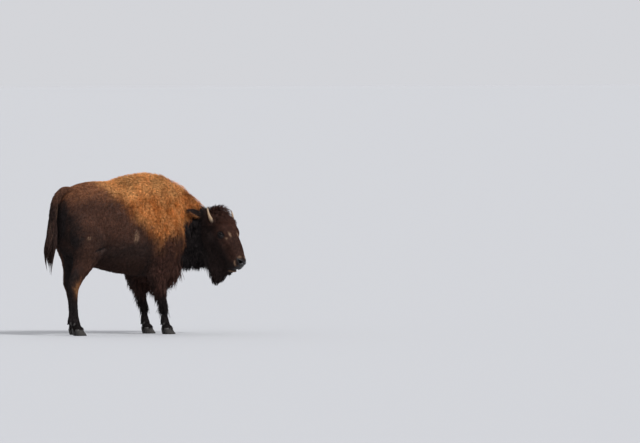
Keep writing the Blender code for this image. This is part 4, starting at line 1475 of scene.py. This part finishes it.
def tail_paths(roots, sections):
    """Long strands from the dock. Each belongs to a lock with its own side and its own low end.
    Strands spread over the switch's width, and draw to their lock's end as they fall."""
    chance = roots.chance
    place = body_place(roots.points)
    own = hashed(SWITCH_LOCKS, SWITCH_SEED, 4)[(chance[:, 1] * SWITCH_LOCKS).astype(int) % SWITCH_LOCKS]
    low = 0.50 + 0.30 * own[:, 0] ** 0.55 + 0.10 * chance[:, 0]
    low = np.minimum(low, place[:, 2] - 0.10)
    t = np.linspace(0, 1, sections + 1)[None, :]
    z = place[:, 2:3] + (low[:, None] - place[:, 2:3]) * t
    heights, along, wide = np.array(SWITCH).T
    middle, wide = np.interp(z, heights, along), np.interp(z, heights, wide)
    draw = ease(0.35, 1.0, t)
    turn = TAU * (own[:, 1:2] + (chance[:, 2:3] - 0.5) * 0.30 * (1 - draw))
    ring = np.sqrt(own[:, 2:3]) * draw + np.sqrt(chance[:, 3:4]) * (1 - draw)
    x = middle + np.sin(turn) * ring * wide * 0.85
    y = TAIL_LEAN + np.cos(turn) * ring * wide
    grown = ease(0.0, 0.40, t)
    wave = 0.007 * np.sin(TAU * (1.2 * t + own[:, 3:4])) * t
    x = place[:, 0:1] * (1 - grown) + x * grown + wave * 0.5
    y = place[:, 1:2] * (1 - grown) + y * grown + wave
    return np.stack([x, y, z], -1) + HUMP_FOOT


def build_tail(skin, material):
    """The switch, from the lower part of the dock."""

    def crowd_at(points, organ):
        """Roots per square metre on the dock below its bend."""
        return (organ == DOCK_ORGAN) * (points[:, 2] < DOCK_BEND) * TAIL_CROWD

    roots = Roots(skin, crowd_at, TAIL_SEED)
    paths = tail_paths(roots, TAIL_SECTIONS)
    half = 0.0028 + 0.0034 * roots.chance[:, 4]
    tone = roots.chance[:, 5]
    coat_piece("coat_tail", roots, paths, half, "dark_coat", material, tone, LONG_FLAT, ("tail_switch",))


def beard_paths(roots, sections):
    """Locks that hang from the jaw and throat. Those under the chin draw together to the beard's point,
    and the rest end in a ragged line above it. Neighbours draw to their clump's middle."""
    chance = roots.chance
    pull, clump = clump_pull(roots.points, BEARD_CLUMP, BEARD_CLUMP_SEED)
    start = roots.points
    reach, aside = (start - POLL) @ FORWARD, (start - POLL) @ LEFT
    share = ease(-0.10, 0.00, reach) * ease(0.30, 0.14, reach)
    low = (0.585 + 0.05 * clump[:, 0]) * (1 - share) + (0.438 + 0.05 * clump[:, 0]) * share
    low = low + 0.16 * chance[:, 0] ** 2
    low = np.minimum(low, start[:, 2] - 0.05)
    to_reach = reach * (1 - share) + (-0.004 + 0.22 * reach) * share
    to_aside = aside * (1 - 0.85 * share)
    t = np.linspace(0, 1, sections + 1)[None, :]
    fall = (start[:, 2:3] - low[:, None]) * t
    draw = ease(0.0, 1.0, fall / 0.30)
    ahead = (to_reach - reach)[:, None] * draw - 0.02 * t**2
    across = (to_aside - aside)[:, None] * draw + 0.006 * np.sin(TAU * (1.1 * t + clump[:, 1:2])) * t
    flat_left = unit(LEFT * (1, 1, 0))
    path = start[:, None] + FORWARD * ahead[..., None] + flat_left * across[..., None] - UP * fall[..., None]
    return path + (pull * (1, 1, 0))[:, None] * 0.75 * (t**1.6)[..., None]


def build_beard(skin, material):
    """The beard, from the underside of the jaw and throat."""

    def crowd_at(points, organ):
        """Roots per square metre, which fade out up the jaw's sides and towards the chin and neck."""
        a, _, b = head_place(points).T
        under = head_mask(points) * ease(-0.095, -0.13, b) * ease(0.50, 0.45, a) * ease(-0.12, -0.08, a)
        return under * (organ == 0) * BEARD_CROWD

    roots = Roots(skin, crowd_at, BEARD_SEED)
    paths = beard_paths(roots, BEARD_SECTIONS)
    half = 0.0034 + 0.0040 * roots.chance[:, 4]
    tone = roots.chance[:, 5]
    coat_piece("coat_beard", roots, paths, half, "dark_coat", material, tone, LONG_FLAT, ("beard",))


# ---- eyes, horns and hooves


def lid_line(hand, turn, grow=1.0):
    """Points of the lids' edge on the ball, at each turn about the eye's look."""
    look, long, rise = eye_axes(hand)
    c, s = np.cos(turn), np.sin(turn)
    power = 2 / EYE_POWER
    h = EYE_LONG * grow * np.sign(c) * np.abs(c) ** power
    h = h * (1 + 0.10 * ease(0.85, 1.0, c))
    v = np.where(s > 0, EYE_OVER, EYE_UNDER) * grow * np.sign(s) * np.abs(s) ** power
    out = np.sqrt(np.clip(EYE_RADIUS**2 - h * h - v * v, 1e-6, None))
    centre = head_point(EYE_PLACE, hand)
    return centre + look * out[:, None] + long * h[:, None] + rise * v[:, None]


LID_STEPS, CORD_TURNS, CORD_RADIUS = 96, 10, 0.0021
LASHES = 64


def build_lids(hand, name, material):
    """The lids' wet edge, a thin cord carried round the eye, and lashes that curve out of the upper one."""
    look, long, rise = eye_axes(hand)
    turn = round_turns(LID_STEPS)
    line = lid_line(hand, turn) + look * 0.0006
    tangent = unit(np.roll(line, -1, 0) - np.roll(line, 1, 0))
    side = unit(np.cross(tangent, look))
    ring = round_turns(CORD_TURNS)
    section = look * np.cos(ring)[:, None] + side[:, None] * np.sin(ring)[None, :, None]
    verts = (line[:, None] + CORD_RADIUS * section).reshape(-1, 3)
    i, j = np.meshgrid(np.arange(LID_STEPS), np.arange(CORD_TURNS), indexing="ij")
    start, end = i.ravel() * CORD_TURNS, (i.ravel() + 1) % LID_STEPS * CORD_TURNS
    j, next_j = j.ravel(), (j.ravel() + 1) % CORD_TURNS
    quads = np.stack([start + j, end + j, end + next_j, start + next_j], 1)
    facing = np.cross(verts[quads[0, 1]] - verts[quads[0, 0]], verts[quads[0, 3]] - verts[quads[0, 0]])
    if facing @ (verts[quads[0, 0]] - line[0]) < 0:
        quads = quads[:, ::-1]
    finished(new_object(f"lid_edge_{name}", verts, quads), material, "eye")
    chance = hashed(LASHES, LASH_SEED + hand, 3)
    turn = np.linspace(0.10, 0.90, LASHES) * math.pi
    root = lid_line(hand, turn, 1.05)
    away = unit(rise * 0.55 + long * np.cos(turn)[:, None] * 0.55 + look * 0.9)
    t = np.linspace(0, 1, 6)[None, :, None]
    length = (0.011 + 0.005 * chance[:, 0])[:, None, None]
    paths = root[:, None] + away[:, None] * length * t - UP * (0.006 * t**2) - look * (0.004 * t**2)
    verts, quads, tris, *_ = rods(paths, away, 0.00042 + 0.0002 * chance[:, 1], 0.9)
    finished(new_object(f"lashes_{name}", verts, quads, tris), material, "dark_coat")


def lid_material():
    """Dark wet skin, one colour all over, because it is a cord 4 mm thick."""
    made, _, shader = new_material("lid_edge", 0.30, 0.4)
    shader.inputs["Base Color"].default_value = (*LID_WET, 1)
    return made


def build_eyes(material, edge):
    """Eyeballs between their lids: balls about the eye's look, a little fuller over the pupil."""
    for name, hand in SIDES:
        look, long, rise = eye_axes(hand)
        centre = head_point(EYE_PLACE, hand)
        lat = np.linspace(0, math.pi, 40)[:, None]
        turn = round_turns(56)[None]
        radius = EYE_RADIUS * (1 + 0.035 * ease(0.62, 0.18, lat))
        p = (
            look * (radius * np.cos(lat) * np.ones_like(turn))[..., None]
            + long * (radius * np.sin(lat) * np.cos(turn))[..., None]
            + rise * (radius * np.sin(lat) * np.sin(turn))[..., None]
        )
        verts, quads, tris = tube(centre + p[1:-1])
        made = new_object(f"eyeball_{name}", verts, quads, tris)
        _, h, v, _ = eye_measure(verts, hand)
        store(made.data, "h", h / EYE_RADIUS)
        store(made.data, "v", v / EYE_RADIUS)
        finished(made, material, "eye", f"eye_{name}")
        build_lids(hand, name, edge)


# A horn's line: out to the side, up and ahead of its root, and its share of the radius there.
HORN_ROWS = (
    (-0.030, -0.020, 0.000, 1.04),
    (0.012, -0.004, 0.000, 1.00),
    (0.040, 0.020, -0.003, 0.84),
    (0.058, 0.052, -0.009, 0.60),
    (0.065, 0.084, -0.017, 0.42),
    (0.065, 0.114, -0.026, 0.27),
    (0.061, 0.138, -0.034, 0.06),
)
HORN_RISE = {1: 0.84, -1: 1.0}  # the left horn is a little lower than the right one
HORN_STEPS, HORN_TURNS = 90, 40


def build_horns(material, sizes):
    """Round sections carried along each horn's line, with rings of growth that fade towards the tip."""
    thick = round(sizes.horn, 6)
    for name, hand in SIDES:
        base = head_point(HORN_PLACE, hand)
        out, rise, ahead, share = smooth_rows(HORN_ROWS, HORN_STEPS).T
        up = np.cross(FORWARD, LEFT)
        up = up * (1 if up[2] > 0 else -1) * HORN_RISE[hand]
        line = base + LEFT * (hand * out)[:, None] + up * rise[:, None] + FORWARD * ahead[:, None]
        tangent = unit(np.gradient(line, axis=0))
        side = unit(np.cross(tangent, FORWARD))
        front = np.cross(side, tangent)
        turn = round_turns(HORN_TURNS)
        t = np.linspace(0, 1, HORN_STEPS)
        ripple = 1 + 0.010 * np.sin(t * 62) * ease(0.55, 0.15, t)
        ripple = ripple + 0.006 * np.sin(t * 131) * ease(0.5, 0.2, t)
        radius = thick * np.clip(share, 0.02, None) * ripple
        flute = 1 + 0.02 * np.cos(turn * 7 + 1.0)[None] * ease(0.7, 0.2, t)[:, None]
        ring = side[:, None] * np.cos(turn)[None, :, None] + front[:, None] * np.sin(turn)[None, :, None]
        sections = line[:, None] + ring * (radius[:, None] * flute)[..., None]
        verts, quads, tris = tube(sections)
        made = new_object(f"horn_sheath_{name}", verts, quads, tris)
        store(made.data, "tip", np.concatenate([np.repeat(t, HORN_TURNS), [0, 1]]))
        finished(made, material, "horn", f"horn_{name}")


def horn_material(colours):
    """Horn: grey at the root, streaked pale in the middle, near black at the tip, with rings of growth."""
    made, tree, shader = new_material("horn", 0.38, 0.5)
    tip = attribute(tree, "tip")
    streak = noise_of(tree, object_place(tree), 60.0, 4.0)
    pale = mixed(tree, streak, colours.horn, HORN_STREAK)
    grey = mixed(tree, spread_of(tree, tip, 0.16, 0.40), HORN_ROOT, pale)
    colour = mixed(tree, spread_of(tree, tip, 0.80, 0.98), grey, HORN_TIP)
    feed(tree, colour, shader.inputs["Base Color"])
    ring = sum_of(tree, "SINE", sum_of(tree, "MULTIPLY", tip, 190.0))
    fade = spread_of(tree, tip, 0.3, 0.7, 1.0, 0.15)
    height = sum_of(tree, "ADD", sum_of(tree, "MULTIPLY", ring, fade), streak)
    bumped(tree, shader, height, 0.0004, 0.35)
    return made


def eye_material():
    """A wet dark eye: a level oblong pupil in a brown iris, with a dark rim."""
    made, tree, shader = new_material("wet_eye", 0.06, 0.09)
    h, v = attribute(tree, "h"), attribute(tree, "v")
    iris = length_of(tree, h, v)
    pupil = length_of(tree, sum_of(tree, "MULTIPLY", h, 0.60), v)
    brown = mixed(tree, spread_of(tree, iris, 0.25, 0.60), IRIS_INNER, IRIS_OUTER)
    colour = mixed(tree, spread_of(tree, pupil, 0.22, 0.27), PUPIL, brown)
    colour = mixed(tree, spread_of(tree, iris, 0.70, 0.84), colour, EYE_RIM)
    feed(tree, colour, shader.inputs["Base Color"])
    return made


def hoof_material(colours):
    """Dark horn in level bands of two shades, which are also its bump."""
    made, tree, shader = new_material("hoof", 0.5, 0.45)
    band = streaks_of(tree, object_place(tree), (30, 30, 160), 4.0)
    colour = mixed(tree, spread_of(tree, band, 0.3, 0.7), colours.hoof, HOOF_BAND)
    feed(tree, colour, shader.inputs["Base Color"])
    bumped(tree, shader, band, 0.0012, 0.6)
    return made


def hoof_sections(centre, hand):
    """Half of a cloven hoof. Egg-shaped sections, flat on the inner side, shrink from the sole to
    the coronet while they lean back, with faint rings of growth and a rounded rim."""
    # Height, shift forward, reach forward, reach back, half width.
    rows = (
        (0.0000, 0.010, 0.0560, 0.0440, 0.0222),
        (0.0025, 0.010, 0.0605, 0.0480, 0.0250),
        (0.0080, 0.008, 0.0605, 0.0490, 0.0262),
        (0.0220, 0.001, 0.0560, 0.0470, 0.0258),
        (0.0380, -0.006, 0.0500, 0.0440, 0.0246),
        (0.0520, -0.012, 0.0440, 0.0400, 0.0226),
        (0.0600, -0.014, 0.0370, 0.0350, 0.0190),
    )
    z, shift, front, back, half = smooth_rows(rows, 40).T
    turn = round_turns(48)
    c, s = np.cos(turn), np.sin(turn)
    shape = np.sign(c) * np.abs(c) ** 0.95
    ripple = 1 + 0.006 * np.sin(z * 900)
    x = np.where(s[None] > 0, front[:, None], back[:, None]) * s[None] * ripple[:, None]
    y = half[:, None] * shape[None] * ripple[:, None]
    # The inner wall is a flat that the section is pressed against.
    inner = -0.0235
    y = np.where(y * hand < inner, (inner + 0.15 * (y * hand - inner)) * hand, y)
    p = np.stack([x + shift[:, None], y, np.broadcast_to(np.clip(z, 0, None)[:, None], x.shape)], -1)
    return centre + p


def build_hooves(material):
    """Claws and dewclaws. Each claw stands in its solid's box, back from its toe and out from its
    inner side."""
    for leg in LEGS:
        for name, hand in SIDES:
            for place, side in (("outer", hand), ("inner", -hand)):
                node = f"hoof_{leg}_{name}_{place}"
                low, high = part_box(node)
                inner = low[1] if side > 0 else high[1]
                centre = np.array((high[0] - CLAW_BACK, inner + side * CLAW_ASIDE, 0.0))
                verts, quads, tris = tube(hoof_sections(centre, side))
                made = new_object(f"claw_{leg}_{name}_{place}", verts, quads, tris)
                finished(made, material, "hoof", node)
                build_spur(f"dewclaw_{leg}_{name}_{place}", material)


# A dewclaw's half sizes, its lean, and how far it stands from its box's middle.
SPUR_SIZE = (0.0092, 0.0080, 0.0165)
SPUR_LEAN = math.radians(35)
SPUR_SHIFT = (0.006, 0, -0.004)


def build_spur(node, material):
    """A dewclaw: a blunt cone that leans back and down, inside its solid's box."""
    lat = np.linspace(0.05, math.pi - 0.05, 20)[:, None]
    turn = round_turns(24)[None]
    c, s = math.cos(SPUR_LEAN), math.sin(SPUR_LEAN)
    long, wide, tall = SPUR_SIZE
    x = long * np.sin(lat) * (1 + 0.35 * np.cos(lat)) * np.cos(turn)
    y = wide * np.sin(lat) * (1 + 0.35 * np.cos(lat)) * np.sin(turn)
    z = tall * np.cos(lat) * np.ones_like(turn)
    turned = np.stack([x * c + z * s, y, -x * s + z * c], -1)
    verts, quads, tris = tube(node_middle(node) + SPUR_SHIFT + turned)
    finished(new_object(f"spur_{node}", verts, quads, tris), material, "hoof", node)


# ---- stage


FLOOR_REACH = 400.0
# The camera stands to the bison's right and behind it, almost level, a long way off with a long lens.
# It aims this far to its own right of the hump, and this high.
CAMERA_TURN = math.radians(-35.0)
CAMERA_RISE = math.radians(1.0)
CAMERA_AWAY = 99.6
CAMERA_ASIDE = 1.654
CAMERA_AIM = 1.051
LENS_LENGTH = 600
SENSOR_WIDTH = 36
SEEN_FROM, SEEN_TO = 10, 1200


def aimed(holder, way):
    """Puts a lamp or a camera in the scene, turned to look along the opposite of a way."""
    made = bpy.data.objects.new(holder.name, holder)
    bpy.context.scene.collection.objects.link(made)
    made.rotation_mode = "QUATERNION"
    made.rotation_quaternion = Vector(way).to_track_quat("Z", "Y")
    return made


def build_stage(stage):
    """A level floor, light from all round, a soft sun from the camera's upper right, two weaker and
    softer ones from its left and from behind, and the camera."""
    corners = np.array(((-1, -1, 0), (1, -1, 0), (1, 1, 0), (-1, 1, 0)), float)
    floor = new_object("floor", corners * FLOOR_REACH, quads=[(0, 1, 2, 3)])
    made, _, shader = new_material("floor", 0.9, 0.1)
    shader.inputs["Base Color"].default_value = (*stage.floor, 1)
    floor.data.materials.append(made)
    world = bpy.data.worlds.new("studio")
    bpy.context.scene.world = world
    world.use_nodes = True
    light = world.node_tree.nodes["Background"]
    light.inputs["Color"].default_value = (*stage.backdrop, 1)
    light.inputs["Strength"].default_value = stage.fill
    level = math.cos(CAMERA_RISE)
    back = np.array((math.sin(CAMERA_TURN) * level, -math.cos(CAMERA_TURN) * level, math.sin(CAMERA_RISE)))
    right = np.array((math.cos(CAMERA_TURN), math.sin(CAMERA_TURN), 0.0))
    # Name, way towards it, strength, and how many degrees of the sky it fills.
    for name, way, power, angle in (
        ("key", right * 0.75 + back * 0.62 + UP * 0.90, stage.key, 14),
        ("fill", -right * 0.75 + back * 0.9 + UP * 0.55, stage.key * 0.16, 90),
        ("top", -back * 0.7 + UP * 1.0 - right * 0.1, stage.key * 0.22, 90),
    ):
        lamp = bpy.data.lights.new(name, "SUN")
        lamp.energy = power
        lamp.angle = math.radians(angle)
        aimed(lamp, way)
    lens = bpy.data.cameras.new("camera")
    lens.lens, lens.sensor_width = LENS_LENGTH, SENSOR_WIDTH
    lens.clip_start, lens.clip_end = SEEN_FROM, SEEN_TO
    camera = aimed(lens, back)
    camera.location = HUMP_FOOT + UP * CAMERA_AIM + right * CAMERA_ASIDE + back * CAMERA_AWAY
    bpy.context.scene.camera = camera
    bpy.context.scene.view_settings.view_transform = "Standard"


# ---- the add-on


def share(name, description, most):
    """A share's property, which is 1 where nothing is changed."""
    return bpy.props.FloatProperty(
        name=name, description=description, default=1.0, min=0.1, max=most, subtype="FACTOR"
    )


def strength(name, description, default):
    """A light's property."""
    return bpy.props.FloatProperty(name=name, description=description, default=default, min=0)


def colour(name, description, default):
    """A colour's property."""
    return bpy.props.FloatVectorProperty(
        name=name, description=description, default=default, min=0, max=1, size=3, subtype="COLOR"
    )


class BisonSizes(bpy.types.PropertyGroup):
    length: share("Coat Length", "Share of each short lock's own length", 1.1)
    crowd: share("Coat Crowding", "Share of the short coat's own number of locks", 1.1)
    horn: bpy.props.FloatProperty(
        name="Horn Radius",
        description="A horn's radius at its root",
        default=0.0205,
        min=0.010,
        max=0.024,
        unit="LENGTH",
    )


class BisonColours(bpy.types.PropertyGroup):
    gold: colour("Gold", "Wool of the hump and shoulders", (0.50, 0.160, 0.038))
    straw: colour("Straw", "Sun-bleached wool among the gold", (0.74, 0.370, 0.135))
    rust: colour("Rust", "Lower shoulder, upper foreleg and forehead", (0.155, 0.056, 0.033))
    back: colour("Back", "Top line behind the cape", (0.240, 0.096, 0.044))
    umber: colour("Umber", "Flanks and thighs", (0.075, 0.0325, 0.0205))
    black: colour("Black", "Head, mane, beard, belly and legs", (0.0165, 0.0122, 0.0122))
    # Tan is bright enough to carry the painted highlight on the muzzle's rim.
    tan: colour("Tan", "Muzzle's rim, lower lip and spots by the eye", (0.30, 0.182, 0.115))
    leather: colour("Leather", "Bare nose and lids", (0.009, 0.008, 0.0085))
    horn: colour("Horn", "Pale part of the horns", (0.40, 0.275, 0.165))
    hoof: colour("Hoof", "Hooves and dewclaws", (0.011, 0.0095, 0.009))


class BisonStage(bpy.types.PropertyGroup):
    floor: colour("Floor", "Studio floor", (0.415, 0.42, 0.435))
    backdrop: colour("Backdrop", "Light from all round", (0.875, 0.885, 0.925))
    fill: strength("Fill", "Strength of the light from all round", 0.75)
    key: strength("Key", "Strength of the main light", 3.0)


class BISON_OT_skin(bpy.types.Operator):
    """Grow the skin inside the coat's depth, and work the face"""

    bl_idname = "bison.skin"
    bl_label = "Skin"

    def execute(self, context):
        colours = context.scene.bison_colours
        skin = build_skin()
        group = coat_colour_group(colours)
        mark(skin.data, points_of(skin.data), read(skin.data, "organ"))
        finished(skin, hide_material(group, colours), "body_coat", *FLESH)
        fur_material(group)
        return {"FINISHED"}


class BISON_OT_coat(bpy.types.Operator):
    """Lay the locks of the coat over the skin"""

    bl_idname = "bison.coat"
    bl_label = "Coat"

    def execute(self, context):
        build_coat(bpy.data.objects["skin"], bpy.data.materials["fur"], context.scene.bison_sizes)
        return {"FINISHED"}


class BISON_OT_long_hair(bpy.types.Operator):
    """Hang the tail's switch and the beard"""

    bl_idname = "bison.long_hair"
    bl_label = "Tail and Beard"

    def execute(self, context):
        skin, fur = bpy.data.objects["skin"], bpy.data.materials["fur"]
        build_tail(skin, fur)
        build_beard(skin, fur)
        return {"FINISHED"}


class BISON_OT_eyes(bpy.types.Operator):
    """Set the eyes between their lids"""

    bl_idname = "bison.eyes"
    bl_label = "Eyes"

    def execute(self, context):
        build_eyes(eye_material(), lid_material())
        return {"FINISHED"}


class BISON_OT_horn_and_hoof(bpy.types.Operator):
    """Build the horns, the hooves and the dewclaws"""

    bl_idname = "bison.horn_and_hoof"
    bl_label = "Horns and Hooves"

    def execute(self, context):
        colours = context.scene.bison_colours
        build_horns(horn_material(colours), context.scene.bison_sizes)
        build_hooves(hoof_material(colours))
        return {"FINISHED"}


class BISON_OT_stage(bpy.types.Operator):
    """Lay the floor, and set the lights and the camera"""

    bl_idname = "bison.stage"
    bl_label = "Stage"

    def execute(self, context):
        build_stage(context.scene.bison_stage)
        return {"FINISHED"}


STEPS = ("skin", "coat", "long_hair", "eyes", "horn_and_hoof", "stage")
GROUPS = {"bison_sizes": BisonSizes, "bison_colours": BisonColours, "bison_stage": BisonStage}


class BISON_PT_panel(bpy.types.Panel):
    """Lists the steps that build the bison"""

    bl_label = "Bison"
    bl_idname = "BISON_PT_panel"
    bl_space_type = "VIEW_3D"
    bl_region_type = "UI"
    bl_category = "Bison"

    def draw(self, context):
        for step in STEPS:
            self.layout.operator(f"bison.{step}")
        for title in GROUPS:
            group = getattr(context.scene, title)
            box = self.layout.box()
            for name in group.__annotations__:
                box.prop(group, name)


CLASSES = (
    *GROUPS.values(),
    BISON_OT_skin,
    BISON_OT_coat,
    BISON_OT_long_hair,
    BISON_OT_eyes,
    BISON_OT_horn_and_hoof,
    BISON_OT_stage,
    BISON_PT_panel,
)


def register():
    """Registers the classes, and gives scenes their groups of sizes, colours and stage settings."""
    for cls in CLASSES:
        bpy.utils.register_class(cls)
    for title, cls in GROUPS.items():
        setattr(bpy.types.Scene, title, bpy.props.PointerProperty(type=cls))


def unregister():
    """Undoes register."""
    for title in GROUPS:
        delattr(bpy.types.Scene, title)
    for cls in reversed(CLASSES):
        bpy.utils.unregister_class(cls)


def main():
    """Registers the add-on, and builds every piece and the stage in order."""
    register()
    for step in STEPS:
        getattr(bpy.ops.bison, step)()


if __name__ == "__main__":
    main()
